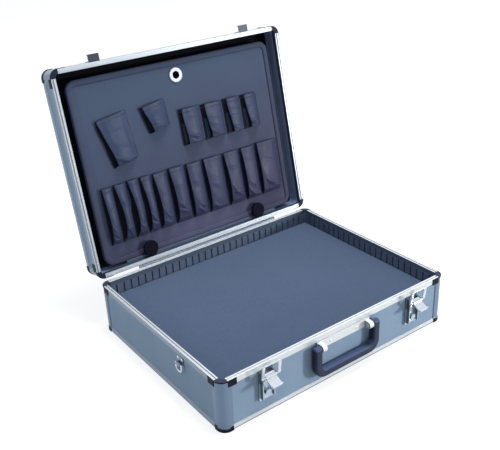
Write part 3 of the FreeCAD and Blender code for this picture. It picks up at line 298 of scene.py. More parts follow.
def eyelet_plating(centre):
    """A bright ring with painted shade in its bore and round its outer edge where it meets the
    pallet.
    """
    made = Finish("eyelet_plating", (0.33, 0.36, 0.43), 0.4, 0.8)
    away = made.away_from(centre)
    made.tint((0.22, 0.245, 0.30), made.band(made.noise(5 * MM, 4.0), 0.5, 0.8), 0.5)
    # painted shade round the outer edge
    made.tint((0.09, 0.11, 0.16), made.band(away, *EYELET_SHADE_RADII), 0.9)
    # painted shade in the bore
    made.tint((0.012, 0.014, 0.022), made.band(away, *EYELET_BORE_SHADE_RADII), 0.95)
    made.polish(made.noise(4 * MM), 0.36, 0.5)
    return made.relief(made.noise(0.6 * MM, 2.0), 0.02 * MM, 0.3).material


def catch_plating():
    """Plated on its outer faces and dark on the faces that look down at the base."""
    made = Finish("catch_plating", (0.40, 0.46, 0.53), 0.34, 0.95)
    made.tint((0.28, 0.33, 0.39), made.band(made.noise(7 * MM, 4.0), 0.5, 0.8), 0.5)
    made.tint((0.55, 0.61, 0.67), made.edges(0.6 * MM), 0.5)
    made.tint((0.022, 0.027, 0.038), made.facing(tuple(-LID_UP), 0.2, 0.7), 0.95)
    made.polish(made.noise(5 * MM), 0.28, 0.45)
    made.soften(0.35 * MM)
    return made.relief(made.noise(0.6 * MM, 2.0), 0.02 * MM, 0.3).material


def handle_plastic():
    made = Finish("handle_plastic", (0.018, 0.020, 0.048), 0.4, Specular_IOR_Level=0.14)
    made.tint((0.032, 0.035, 0.07), made.band(made.noise(14 * MM), 0.4, 0.7), 0.6)
    # painted light: faces that look up take a lighter blue
    made.tint((0.070, 0.105, 0.21), made.facing((0, -0.2, 0.98), 0.1, 0.7), 0.85)
    made.tint((0.10, 0.115, 0.18), made.edges(1.2 * MM), 0.25)
    made.polish(made.noise(3 * MM), 0.3, 0.48)
    return made.relief(made.cells(0.9 * MM), 0.06 * MM, 0.5).material


def lining_cloth():
    """Woven cloth, grey blue on the side walls, with near-black painted shade behind the pallet and
    on the front.
    """
    made = Finish("lining_cloth", (0.26, 0.34, 0.57), 0.9,
                  Sheen_Weight=0.04, Sheen_Roughness=0.5, Specular_IOR_Level=0.1)
    weave = made.weave(1.1 * MM)
    made.tint((0.29, 0.36, 0.58), weave, 0.5)
    made.tint((0.21, 0.27, 0.45), made.band(made.noise(40 * MM), 0.45, 0.7), 0.6)
    # painted shade on the faces behind the pallet and on the lid's front wall
    for way in (-LID_UP, LID_ALONG):
        made.tint((0.004, 0.005, 0.008), made.facing(tuple(way), 0.6, 0.9))
    made.polish(made.noise(5 * MM), 0.8, 0.98)
    return made.relief(weave, 0.12 * MM, 0.6).material


def vinyl(name, color, deep, pale, gloss, roughness, crumple=0.3, pale_centre=None):
    """Grained vinyl, blue grey at the lid's front and a warmer grey, deep, towards its hinge.

    Round the given point, deep is paler.
    """
    made = Finish(name, color, roughness,
                  Sheen_Weight=0.03, Sheen_Roughness=0.4, Specular_IOR_Level=gloss)
    grain = made.cells(1.5 * MM, "SMOOTH_F1")
    slant = tuple(LID_ALONG + Vector((0.3, 0, 0)))
    drop = made.dot(made.place, slant)
    uneven = made.math("MULTIPLY", made.noise(70 * MM, 3.0), 0.14)
    made.tint(deep, made.band(made.math("ADD", drop, uneven), *VINYL_FADE))
    if pale_centre:
        made.tint(scaled(deep, 1.6), made.band(made.away_from(pale_centre), *PALE_PATCH_RADII))
    made.tint(pale, made.band(made.noise(1.4 * MM, 3.0), 0.5, 0.75), 0.3)
    made.polish(made.noise(12 * MM), roughness - 0.1, roughness + 0.1)
    made.relief(made.noise(9 * MM, 3.0), 0.5 * MM, crumple)
    return made.relief(grain, 0.18 * MM, 0.45).material


# Near-black cloth for the gussets: painted shade inside the pleats
def pleat_shade_cloth():
    made = Finish("pleat_shade_cloth", (0.010, 0.011, 0.021), 0.85, Specular_IOR_Level=0.15)
    weave = made.weave(0.9 * MM)
    made.tint((0.016, 0.018, 0.028), weave, 0.7)
    made.tint((0.004, 0.005, 0.008), made.band(made.noise(8 * MM), 0.45, 0.7), 0.6)
    made.polish(made.noise(4 * MM), 0.78, 0.95)
    return made.relief(weave, 0.08 * MM, 0.5).material


def thread():
    made = Finish("thread", (0.045, 0.05, 0.075), 0.8, Sheen_Weight=0.1, Sheen_Roughness=0.4)
    twist = made.ribs((1, 1, 1), 0.6 * MM)
    made.tint((0.09, 0.1, 0.14), twist, 0.6)
    made.polish(made.noise(3 * MM), 0.7, 0.9)
    return made.relief(twist, 0.08 * MM, 0.7).material


def knob_plastic():
    made = Finish("knob_plastic", (0.003, 0.0035, 0.010), 0.6, Specular_IOR_Level=0.05)
    made.tint((0.009, 0.010, 0.022), made.band(made.noise(6 * MM), 0.45, 0.7), 0.7)
    made.tint((0.035, 0.04, 0.065), made.edges(0.8 * MM), 0.3)
    made.polish(made.noise(3 * MM), 0.55, 0.7)
    return made.relief(made.noise(0.5 * MM, 2.0), 0.04 * MM, 0.4).material


def batten_wood():
    # near-black colour: painted shade for the spacers seen in the gap behind the pallet
    made = Finish("batten_wood", (0.028, 0.025, 0.026), 0.7, Specular_IOR_Level=0.2)
    grain = made.streaks(ALONG_X, 1.6 * MM, 40.0)
    made.tint((0.014, 0.013, 0.014), made.band(grain, 0.45, 0.7), 0.8)
    made.polish(grain, 0.6, 0.8)
    return made.relief(grain, 0.1 * MM, 0.5).material


def middle_of(*nodes):
    """The middle of the boxes of some nodes."""
    corners = [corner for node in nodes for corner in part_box(node)]
    return sum(corners, Vector()) / len(corners)


KNOBS_MIDDLE = middle_of("turn_knob_left", "turn_knob_right")
FINISHES = {
    "panel": panel_laminate(),
    "alu_x": aluminium("aluminium_across", ALONG_X),
    "alu_contact_shadow": aluminium("aluminium_contact_shadow", ALONG_X, foot=CONTACT_SHADOW_HEIGHT),
    "bracket": aluminium("aluminium_bracket", ALONG_X, (0.86, 0.885, 0.90), 0.1),
    "post": aluminium("aluminium_post", UPRIGHT, POST_TONE, 0.45),
    "lid_post": aluminium("aluminium_lid_post", tuple(LID_UP), LID_POST_LIT_TONE, 0.45),
    "cap": cap_plastic("cap_plastic", UPRIGHT, (0.055, 0.068, 0.115)),
    "lid_cap": cap_plastic("lid_cap_plastic", tuple(-LID_UP), (0.018, 0.024, 0.046)),
    "divider": divider_plastic(),
    "foam": foam_cells(),
    "hinge": bright_metal("hinge_plating", (0.15, 0.17, 0.21), 0.42),
    "chrome": bright_metal("nickel_plating", (0.66, 0.71, 0.76), 0.2, 0.6),
    "plate": bright_metal("plate_plating", (0.20, 0.245, 0.32), 0.34, 0.8),
    "latch_plate": latch_plating(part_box("latch_plate_left")[1].z),
    "eyelet": eyelet_plating(middle_of("pull_eyelet")),
    "catch": catch_plating(),
    "handle": handle_plastic(),
    "lining": lining_cloth(),
    "pallet": vinyl("pallet_vinyl", (0.069, 0.099, 0.166), (0.059, 0.060, 0.108),
                    (0.087, 0.107, 0.174), 0.1, 0.62, pale_centre=KNOBS_MIDDLE),
    "pocket": vinyl("pocket_vinyl", (0.038, 0.058, 0.118), (0.035, 0.038, 0.085),
                    (0.055, 0.070, 0.130), 0.17, 0.44, crumple=0.9),
    "binding": vinyl("binding_vinyl", (0.055, 0.074, 0.127), (0.053, 0.053, 0.094),
                     (0.078, 0.095, 0.145), 0.12, 0.62, pale_centre=KNOBS_MIDDLE),
    "gusset": pleat_shade_cloth(),
    "thread": thread(),
    "knob": knob_plastic(),
    "wood": batten_wood(),
}

NODE_FINISH = {
    "base_corner_posts": "post", "lid_corner_posts": "lid_post",
    "base_edge_angles": "alu_contact_shadow", "lid_edge_angles": "alu_x",
    "divider_walls": "divider", "foam_pad": "foam", "carry_handle": "handle",
    "handle_bracket": "bracket", "handle_pins": "chrome", "pull_eyelet": "eyelet",
    "strap_anchors": "plate", "base_rivets": "chrome", "lid_rivets": "chrome",
    "lid_liner": "lining", "tool_pallet": "pallet", "pallet_binding": "binding",
    "pallet_spacers": "wood", "pallet_keeper": "divider",
}
# The lid's rims take a darker copy of the rims' aluminium tone: painted shade against the light
# that falls on them
RIM_TONE = {"base": ALUMINIUM, "lid": (0.52, 0.57, 0.61)}
# Painted top light: the base's rims get a brighter tone on faces that look up
RIM_TOP_LIGHT = {"base": (0.93, 0.96, 0.98), "lid": None}
# On the lid's front rim the inside is near black: painted shade where it faces down with the lid
# open
RIM_INSIDE = {"base": (0.115, 0.15, 0.205), "lid": (0.085, 0.108, 0.155),
              "lid_rim_front": (0.006, 0.007, 0.012)}
RIM_INSIDE_DEPTH = 0.4 * MM
INWARD = {"front": (0, 1, 0), "rear": (0, -1, 0), "left": (1, 0, 0), "right": (-1, 0, 0)}
for half, turn in (("base", Matrix.Identity(3)), ("lid", LID_TURN)):
    for side, way in INWARD.items():
        NODE_FINISH[f"{half}_{side}_panel"] = "panel"
        rim = f"{half}_rim_{side}"
        inward = turn @ Vector(way)
        face = max(inward.dot(v.co) for v in NODES[rim].data.vertices)
        along = turn @ Vector(ALONG_X if side in ("front", "rear") else ALONG_Y)
        inside = RIM_INSIDE.get(rim, RIM_INSIDE[half])
        FINISHES[rim] = aluminium("aluminium_" + rim, tuple(along), RIM_TONE[half],
                                  lined=(inside, tuple(inward), face - RIM_INSIDE_DEPTH),
                                  top=RIM_TOP_LIGHT[half])
        NODE_FINISH[rim] = rim
STARTS = {
    "base_bottom_panel": "panel", "lid_top_panel": "panel",
    "base_rim_caps": "cap", "lid_rim_caps": "lid_cap",
    "base_bottom_caps": "cap", "lid_outer_caps": "lid_cap",
    "hinge_": "hinge", "latch_plate": "latch_plate", "latch_": "chrome",
    "lid_catch": "catch", "strap_ring": "chrome", "turn_knob": "knob", "pocket_": "pocket",
}
for name, node in NODES.items():
    found = NODE_FINISH.get(name)
    found = found or next(key for start, key in STARTS.items() if name.startswith(start))
    node.data.materials.clear()
    node.data.materials.append(FINISHES[found])


# Mesh helpers

def raw(name, points, faces):
    """A bare object of points and faces."""
    mesh = bpy.data.meshes.new(name)
    mesh.from_pydata([tuple(p) for p in points], [], faces)
    made = bpy.data.objects.new(name, mesh)
    bpy.context.scene.collection.objects.link(made)
    return made


def dress(made, finish, body):
    """Smooth faces, one finish, and the slot and body that an object belongs to."""
    for face in made.data.polygons:
        face.use_smooth = True
    made.data.materials.clear()
    made.data.materials.append(FINISHES[finish])
    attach(made, body)


def piece(name, points, faces, finish, body):
    made = raw(name, points, faces)
    made.data.validate()
    dress(made, finish, body)
    return made


def thicken(sheet, gauge, offset):
    solid = sheet.modifiers.new("gauge", "SOLIDIFY")
    solid.thickness = gauge
    solid.offset = offset
    return solid


def opened(points):
    """Points of the closed lid, moved to where the open lid has them."""
    return [LID_SWING @ Vector(p) for p in points]


def closed_points(node):
    """A node's points where the closed lid has them."""
    back = LID_SWING.inverted()
    return np.array([back @ v.co for v in NODES[node].data.vertices])


def closed_box(node):
    points = closed_points(node)
    return Vector(points.min(0)), Vector(points.max(0))


def grid_faces(columns, rows, wrap=False):
    faces = []
    for i in range(columns if wrap else columns - 1):
        for j in range(rows - 1):
            a, b = i * rows + j, ((i + 1) % columns) * rows + j
            faces.append((a, b, b + 1, a + 1))
    return faces


def grid_border(columns, rows):
    """Indices round the edge of a grid of points that are listed column by column."""
    border = [i * rows for i in range(columns)]
    border += [(columns - 1) * rows + j for j in range(1, rows)]
    border += [i * rows + rows - 1 for i in range(columns - 2, -1, -1)]
    return border + list(range(rows - 2, 0, -1))


def islands(node):
    """Vertex sets of the separate solids of a node, from left to right."""
    mesh = NODES[node].data
    points = closed_points(node)
    keys = [tuple(np.round(p / (0.02 * MM)).astype(int)) for p in points]
    first = {}
    leader = list(range(len(points)))

    def root(i):
        while leader[i] != i:
            leader[i] = leader[leader[i]]
            i = leader[i]
        return i

    for i, key in enumerate(keys):
        leader[root(i)] = root(first.setdefault(key, i))
    for edge in mesh.edges:
        a, b = edge.vertices
        leader[root(a)] = root(b)
    groups = {}
    for i in range(len(points)):
        groups.setdefault(root(i), []).append(i)
    solids = [points[group] for group in groups.values()]
    return sorted(solids, key=lambda solid: solid[:, 0].mean())


def smooth_step(low, high, x):
    """From 0 to 1 without a kink while x goes from low to high."""
    t = min(1.0, max(0.0, (x - low) / (high - low)))
    return t * t * (3 - 2 * t)


# The foam pad: a cut block with rounded edges and a soft, slightly crowned top

def crowd(low, high, step, edge):
    """Stations from low to high that stand close together within edge of each end."""
    near = edge * (1 - np.cos(np.linspace(0, math.pi / 2, 6)))
    middle = np.linspace(low + edge, high - edge, max(3, int((high - low - 2 * edge) / step)))
    return np.concatenate([low + near[:-1], middle, high - near[:-1][::-1]])


def ripple(x, y, size, seed):
    """A smooth unevenness between -1 and 1 with waves of about a size."""
    return noise.noise(Vector((x / size, y / size, seed)))


def build_foam():
    low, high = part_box("foam_pad")
    edge, crown, uneven, step = 3.0 * MM, 0.9 * MM, 0.35 * MM, 3.2 * MM
    hollow, wavy = 0.0022, 0.0012
    width, depth = high.x - low.x, high.y - low.y
    xs, ys = crowd(low.x, high.x, step, edge), crowd(low.y, high.y, step, edge)
    points = []
    for x in xs:
        for y in ys:
            inside = min(x - low.x, high.x - x, y - low.y, high.y - y)
            lack = max(0.0, 1 - inside / edge)
            drop = edge * (1 - math.sqrt(1 - lack * lack))
            swell = crown * (1 - (2 * x / width) ** 4) * (1 - (2 * y / depth) ** 4)
            rough = uneven * (ripple(x, y, 38 * MM, 1.7) + 0.5 * ripple(x, y, 9 * MM, 4.1))
            points.append((x, y, high.z - drop + swell + rough))
    faces = grid_faces(len(xs), len(ys))
    above = border = grid_border(len(xs), len(ys))
    for level in np.linspace(0.94, 0.0, 9):
        ring = []
        for index in border:
            x, y = points[index][0], points[index][1]
            pull = 1 - hollow * math.sin(math.pi * level)
            pull -= wavy * ripple(x + y, level * 0.05, 14 * MM, 2.3) ** 2
            ring.append(len(points))
            points.append((x * pull, y * pull, low.z + level * (high.z - edge - low.z)))
        for i in range(len(ring)):
            after = (i + 1) % len(ring)
            faces.append((above[i], ring[i], ring[after], above[after]))
        above = ring
    faces.append(tuple(reversed(above)))
    foam = piece("foam_block", points, faces, "foam", "base")
    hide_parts("foam_pad")


# The bound pallet: padded vinyl over a board, with a sewn tape round its edge

PALLET_LOW, PALLET_HIGH = closed_box("tool_pallet")
PALLET_CORNER = 16 * MM
PALLET_PAD = 0.9 * MM
PALLET_COLUMNS, PALLET_ROWS = 150, 118
SIDE_POINTS, CORNER_POINTS = 46, 14
EYELET_HOLE, KNOB_HOLE, HOLE_POINTS = 6.6 * MM, 5.2 * MM, 40
TAPE_WIDTH, TAPE_GAUGE, TAPE_SEAM = 8.0 * MM, 1.1 * MM, 5.4 * MM
VINYL_GAUGE = 0.7 * MM


def outline(inset):
    """Points and outward directions round the pallet's edge, a distance inside it."""
    corner = PALLET_CORNER - inset
    right, left = PALLET_HIGH.x - PALLET_CORNER, PALLET_LOW.x + PALLET_CORNER
    rear, front = PALLET_HIGH.y - PALLET_CORNER, PALLET_LOW.y + PALLET_CORNER
    corners = ((right, rear), (left, rear), (left, front), (right, front))
    centres = [Vector((x, y, 0)) for x, y in corners]
    places, ways = [], []
    for quarter, centre in enumerate(centres):
        for angle in np.linspace(0, math.pi / 2, CORNER_POINTS) + quarter * math.pi / 2:
            way = Vector((math.cos(angle), math.sin(angle), 0))
            places.append(centre + corner * way)
            ways.append(way)
        start, way = places[-1], ways[-1]
        after = (quarter + 1) % 4
        turn = after * math.pi / 2
        end = centres[after] + corner * Vector((math.cos(turn), math.sin(turn), 0))
        for share in np.linspace(0, 1, SIDE_POINTS)[1:-1]:
            places.append(start.lerp(end, share))
            ways.append(way)
    return places, ways


def cut_with(target, tool, operation):
    """Cuts an object with another, which is used up."""
    change = target.modifiers.new("cut", "BOOLEAN")
    change.operation = operation
    change.solver = "EXACT"
    change.object = tool
    with bpy.context.temp_override(object=target, active_object=target):
        bpy.ops.object.modifier_apply(modifier=change.name)
    bpy.data.objects.remove(tool)


def prism(name, ring, low, high):
    """A closed upright prism on a ring of points that runs counterclockwise."""
    count = len(ring)
    points = [(p[0], p[1], low) for p in ring] + [(p[0], p[1], high) for p in ring]
    faces = [(i, (i + 1) % count, count + (i + 1) % count, count + i) for i in range(count)]
    faces += [tuple(reversed(range(count))), tuple(range(count, 2 * count))]
    return raw(name, points, faces)


def drill(target, node, radius, low, high):
    """A round hole through a piece of the closed lid, at the middle of a node."""
    centre = sum(closed_box(node), Vector()) / 2
    angles = np.linspace(0, 2 * math.pi, HOLE_POINTS, endpoint=False)
    ring = [(centre.x + radius * math.cos(a), centre.y + radius * math.sin(a)) for a in angles]
    cut_with(target, prism("hole", ring, low, high), "DIFFERENCE")


def build_pallet():
    margin = 3 * MM
    xs = np.linspace(PALLET_LOW.x - margin, PALLET_HIGH.x + margin, PALLET_COLUMNS)
    ys = np.linspace(PALLET_LOW.y - margin, PALLET_HIGH.y + margin, PALLET_ROWS)
    front, back = [], []
    for x in xs:
        for y in ys:
            inside = min(x - PALLET_LOW.x, PALLET_HIGH.x - x, y - PALLET_LOW.y, PALLET_HIGH.y - y)
            pad = PALLET_PAD * smooth_step(TAPE_WIDTH - 1 * MM, 17 * MM, inside)
            wavy = 0.22 * MM * ripple(x, y, 30 * MM, 7.7)
            pad += wavy * smooth_step(TAPE_WIDTH, 25 * MM, inside)
            front.append((x, y, PALLET_LOW.z - pad))
            back.append((x, y, PALLET_HIGH.z))
    count, rows = len(front), len(ys)
    faces = [tuple(reversed(face)) for face in grid_faces(len(xs), rows)]
    faces += [tuple(count + i for i in face) for face in grid_faces(len(xs), rows)]
    border = grid_border(len(xs), rows)
    for a, b in zip(border, border[1:] + border[:1]):
        faces.append((a, b, count + b, count + a))
    slab = raw("pallet_pad", front + back, faces)
    reach = 5 * MM
    low, high = PALLET_LOW.z - reach, PALLET_HIGH.z + reach
    ring, _ = outline(0)
    cut_with(slab, prism("edge", ring, low, high), "INTERSECT")
    drill(slab, "pull_eyelet", EYELET_HOLE, low, high)
    for side in ("left", "right"):
        drill(slab, f"turn_knob_{side}", KNOB_HOLE, low, high)
    slab.data.transform(LID_SWING)
    slab.modifiers.new("edges", "EDGE_SPLIT").split_angle = math.radians(35)
    dress(slab, "pallet", "lid")
    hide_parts("tool_pallet")


def build_binding():
    places, ways = outline(0)
    front, back, thick = PALLET_LOW.z, PALLET_HIGH.z, TAPE_GAUGE
    section = [(-TAPE_WIDTH, front - 0.15 * MM), (-TAPE_WIDTH + 0.4 * MM, front - 0.8 * thick),
               (-5.6 * MM, front - thick), (-2.8 * MM, front - thick), (-0.9 * MM, front - thick),
               (0.3 * MM, front - 0.75 * thick), (0.9 * thick, front - 0.1 * MM),
               (thick, front + 1.1 * MM), (thick, back - 1.1 * MM),
               (0.9 * thick, back + 0.1 * MM), (0.3 * MM, back + 0.75 * thick),
               (-0.9 * MM, back + thick), (-3.2 * MM, back + thick), (-5.6 * MM, back + thick),
               (-TAPE_WIDTH + 0.4 * MM, back + 0.8 * thick), (-TAPE_WIDTH, back + 0.15 * MM)]
    points = []
    walked = 0.0
    for number, (place, way) in enumerate(zip(places, ways)):
        walked += (place - places[number - 1]).length if number else 0.0
        bent = abs(way.x * way.y) * 2
        for out, z in section:
            inner = min(1.0, max(0.0, -out / TAPE_WIDTH))
            pucker = 0.12 * MM * ripple(walked, out, 5 * MM, 3.3)
            pucker += 0.22 * MM * bent * math.sin(walked / (1.05 * MM)) * inner
            rise = -1 if z < (front + back) / 2 else 1
            points.append(place + out * way + Vector((0, 0, z + rise * pucker)))
    faces = grid_faces(len(places), len(section), wrap=True)
    tape = piece("edge_tape", opened(points), faces, "binding", "lid")
    thicken(tape, VINYL_GAUGE, 1.0)
    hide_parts("pallet_binding")


# Pockets: sleeves of vinyl sewn to the pallet at their sides and feet and open at the top. The left
# side of each is pleated: it runs in under the front, turns, and comes back out to a fold.

HEM, HEM_HEIGHT = 6.5 * MM, 0.45 * MM
SEAM_HEIGHT = 0.5 * MM
FLANGE = 2.4 * MM
PLEAT, FOLD = 4.0 * MM, 1.6 * MM
# Across the front from its fold to the right seam: the share that is left, and the height
FACE_RISE = ((0.8, 1.06), (0.6, 1.0), (0.4, 0.84), (0.22, 0.56), (0.08, 0.2), (0.0, 0.0))
CURVE_STEPS = 4
GUSSET_STEPS = 5 * CURVE_STEPS
TONGUE, TONGUE_TOP = (3, 6), 0.4
# Creases: where on the way from mouth to foot each begins, how far it drops, and its height in mm
CREASES = ((0.22, 0.12, 0.8), (0.50, 0.2, 1.3), (0.70, 0.2, 2.0), (0.80, 0.14, 1.6))
CREASE_OVER, CREASE_UNDER = 0.9 * MM, 6.0 * MM


def smooth_curve(knots, steps):
    """Points of a curve through all the knots, with even steps between each two."""
    knots = [2 * knots[0] - knots[1], *knots, 2 * knots[-1] - knots[-2]]
    curve = []
    for a, b, c, d in zip(knots, knots[1:], knots[2:], knots[3:]):
        for t in np.linspace(0, 1, steps, endpoint=False):
            curve.append(0.5 * (2 * b + (c - a) * t + (2 * a - 5 * b + 4 * c - d) * t * t
                                + (3 * b - a - 3 * c + d) * t ** 3))
    return [*curve, knots[-2]]


class Sleeve:
    """One pocket: its place on the closed lid, its size, and its section at each height."""

    def __init__(self, points, lean, seed, belly, gape):
        self.middle = Vector(points.mean(0))
        self.turn = Matrix.Rotation(-lean, 3, "Z")
        flat = np.array([self.turn.inverted() @ (Vector(p) - self.middle) for p in points])
        self.mouth, foot = flat[:, 1].min(), flat[:, 1].max()
        self.length = foot - self.mouth
        at_top = flat[flat[:, 1] < self.mouth + 1 * MM]
        at_foot = flat[flat[:, 1] > foot - 1 * MM]
        self.centre = (at_top[:, 0].min() + at_top[:, 0].max()) / 2
        self.top_half = np.ptp(at_top[:, 0]) / 2
        self.foot_half = np.ptp(at_foot[:, 0]) / 2
        self.depth = np.ptp(flat[:, 2])
        self.seed, self.belly = seed, belly
        chance = np.random.default_rng(seed)
        self.full = chance.uniform(0.92, 1.04)
        self.gape = gape * MM
        sunk = chance.uniform(0.0, 2.2) * MM
        self.mouth += sunk
        self.length -= sunk
        self.creases = []
        for begin, drop, height in CREASES:
            across = (chance.uniform(-0.95, -0.5), chance.uniform(0.55, 1.0))
            down = begin + chance.uniform(-0.08, 0.08)
            bow = chance.uniform(-0.2, 0.9) * drop
            self.creases.append((across, down, drop * chance.uniform(0.6, 1.3), bow,
                                 height * chance.uniform(0.5, 1.2) * MM))

    def half(self, share):
        return self.top_half + (self.foot_half - self.top_half) * share

    def section(self, share):
        """Offsets across and heights over the pallet, from the left seam to the right one."""
        half = self.half(share)
        wide, pressed = self.belly(share)
        high = self.depth * self.full * (0.56 + 0.46 * wide) * (1 - 0.86 * pressed)
        fold = min(self.gape, 0.9 * half) * wide * (1 - pressed)
        deep = min(fold + PLEAT, 1.05 * half) * (1 - 0.6 * pressed)
        left = fold - half
        knots = [(-half, 0.0), (0.5 * deep - half, 0.04 * high), (deep - half, 0.26 * high),
                 (0.96 * deep - half, 0.52 * high), (0.5 * (deep + fold) - half, 0.8 * high),
                 (left, 0.94 * high), (left + FOLD, 1.03 * high)]
        face = half - left - FOLD
        knots += [(half - share_left * face, rise * high) for share_left, rise in FACE_RISE]
        curve = smooth_curve([np.array(knot) for knot in knots], CURVE_STEPS)
        made = []
        for number, (across, height) in enumerate(curve):
            height = max(height, 0.0)
            if number >= GUSSET_STEPS:
                height += self.worn(across / half, share) * min(1.0, height / (2 * MM))
                past_hem = smooth_step(HEM - 0.5 * MM, HEM + 0.4 * MM, share * self.length)
                height += HEM_HEIGHT * (1 - past_hem)
            made.append((across, SEAM_HEIGHT + height))
        return made

    def worn(self, across, share):
        """Soft unevenness, and the creases that run down to the foot."""
        x, y = across * self.half(share), share * self.length
        lift = 0.7 * MM * ripple(x, y * 0.35, 11 * MM, self.seed + 0.37)
        for (left, right), down, drop, bow, height in self.creases:
            walk = (across - left) / (right - left)
            if 0 < walk < 1:
                arch = 4 * walk * (1 - walk)
                below = (share - down - drop * walk - bow * arch) * self.length
                reach = CREASE_UNDER if below > 0 else CREASE_OVER
                lift += height * arch ** 0.6 * math.exp(-(below / reach) ** 2)
        return lift

    def place(self, across, share, rise):
        flat = Vector((self.centre + across, self.mouth + share * self.length, 0))
        spot = self.middle + self.turn @ flat
        return Vector((spot.x, spot.y, PALLET_LOW.z - 0.5 * PALLET_PAD - rise))


def sagging(at_mouth, swell):
    """A sleeve that widens down to its foot and is pressed flat there."""
    return lambda share: (at_mouth + (1 - at_mouth) * smooth_step(0.0, swell, share),
                          smooth_step(0.95, 1.0, share))


def bulging(share):
    """A sleeve that is widest below mid-height and comes together at both ends."""
    return 0.1 + 0.9 * math.sin(math.pi * share ** 1.4) ** 0.7, smooth_step(0.91, 1.0, share)


def build_sleeves(node, lean, seed, belly, gapes, pleated=False):
    """One strip of vinyl over all pockets of a node, with how far each stands open in millimetres.

    The gussets carry painted shade in a near-black finish. Where it is pleated, a tongue of the
    front's vinyl shows between two shaded folds of each gusset.
    """
    sleeves = [Sleeve(points, lean, seed + number, belly, gape)
               for number, (points, gape) in enumerate(zip(islands(node), gapes))]
    shares = np.concatenate([np.linspace(0, 0.1, 8)[:-1], np.linspace(0.1, 1, 92)])
    rows = []
    for share in shares:
        row, dark, tongue = [], [], []
        for sleeve in sleeves:
            section = sleeve.section(share)
            if sleeve is sleeves[0]:
                section = [(section[0][0] - FLANGE, SEAM_HEIGHT), *section]
            start = len(row) + (sleeve is sleeves[0])
            # the gusset columns take the near-black finish, painted shade in the pleat
            dark += range(start, start + GUSSET_STEPS)
            tongue += range(start + TONGUE[0], start + TONGUE[1])
            if sleeve is sleeves[-1]:
                section = [*section, (section[-1][0] + FLANGE, SEAM_HEIGHT)]
            row += [sleeve.place(across, share, rise) for across, rise in section]
        rows.append(row)
    columns, depth = len(rows[0]), len(rows)
    points = [rows[j][i] for i in range(columns) for j in range(depth)]
    faces = [tuple(reversed(face)) for face in grid_faces(columns, depth)]
    cloth = piece(node + "_sleeve", opened(points), faces, "pocket", "lid")
    cloth.data.materials.append(FINISHES["gusset"])
    for number, face in enumerate(cloth.data.polygons):
        column, row = divmod(number, depth - 1)
        bare = pleated and column in tongue and shares[row] > TONGUE_TOP
        face.material_index = int(column in dark and not bare)
    solid = thicken(cloth, VINYL_GAUGE, -1.0)
    solid.material_offset = solid.material_offset_rim = 1
    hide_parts(node)
    hem_row = int(np.argmin(np.abs(shares * sleeves[0].length - 0.8 * HEM)))
    stitch(rows[hem_row])
    stitch(rows[-2])
    for column in (0, columns - 1):
        stitch([row[column] for row in rows])


# Stitches: short twisted threads that lie along a line

STITCH_LONG, STITCH_GAP, STITCH_THICK = 2.6 * MM, 1.3 * MM, 0.36 * MM
STITCH_SIDES = 6
# Along each stitch: the place of a ring, and its height and radius in thicknesses
STITCH_RINGS = ((0.0, 0.3, 0.45), (0.25, 1.1, 0.95), (0.75, 1.1, 0.95), (1.0, 0.3, 0.45))
stitch_points, stitch_faces = [], []


def stitch(line):
    """Adds stitches along a line of points of the closed lid."""
    walk = [0.0]
    for a, b in zip(line, line[1:]):
        walk.append(walk[-1] + (b - a).length)
    axes = np.array([tuple(p) for p in line])

    def at(distance):
        return Vector([np.interp(distance, walk, axes[:, axis]) for axis in range(3)])

    step = STITCH_LONG + STITCH_GAP
    for number in range(int(walk[-1] / step)):
        start = at(number * step + STITCH_GAP)
        end = at(number * step + STITCH_GAP + STITCH_LONG)
        along = (end - start).normalized()
        up = Vector((0, 0, -1))
        side = along.cross(up).normalized()
        up = side.cross(along)
        first = len(stitch_points)
        for share, rise, thick in STITCH_RINGS:
            centre = start.lerp(end, share) + up * STITCH_THICK * rise
            for turn in np.linspace(0, 2 * math.pi, STITCH_SIDES, endpoint=False):
                out = math.cos(turn) * side + math.sin(turn) * up
                stitch_points.append(centre + STITCH_THICK * thick * out)
        last = first + (len(STITCH_RINGS) - 1) * STITCH_SIDES
        for ring in range(first, last, STITCH_SIDES):
            for corner in range(STITCH_SIDES):
                a, b = ring + corner, ring + (corner + 1) % STITCH_SIDES
                stitch_faces.append((a, b, b + STITCH_SIDES, a + STITCH_SIDES))
        stitch_faces.append(tuple(reversed(range(first, first + STITCH_SIDES))))
        stitch_faces.append(tuple(range(last, last + STITCH_SIDES)))


def build_stitching():
    places, _ = outline(TAPE_SEAM)
    level = PALLET_LOW.z - TAPE_GAUGE
    stitch([Vector((p.x, p.y, level)) for p in places + places[:1]])
    piece("sewing", opened(stitch_points), stitch_faces, "thread", "lid")


# The lid's lining: cloth glued round the inside of the walls and over the top

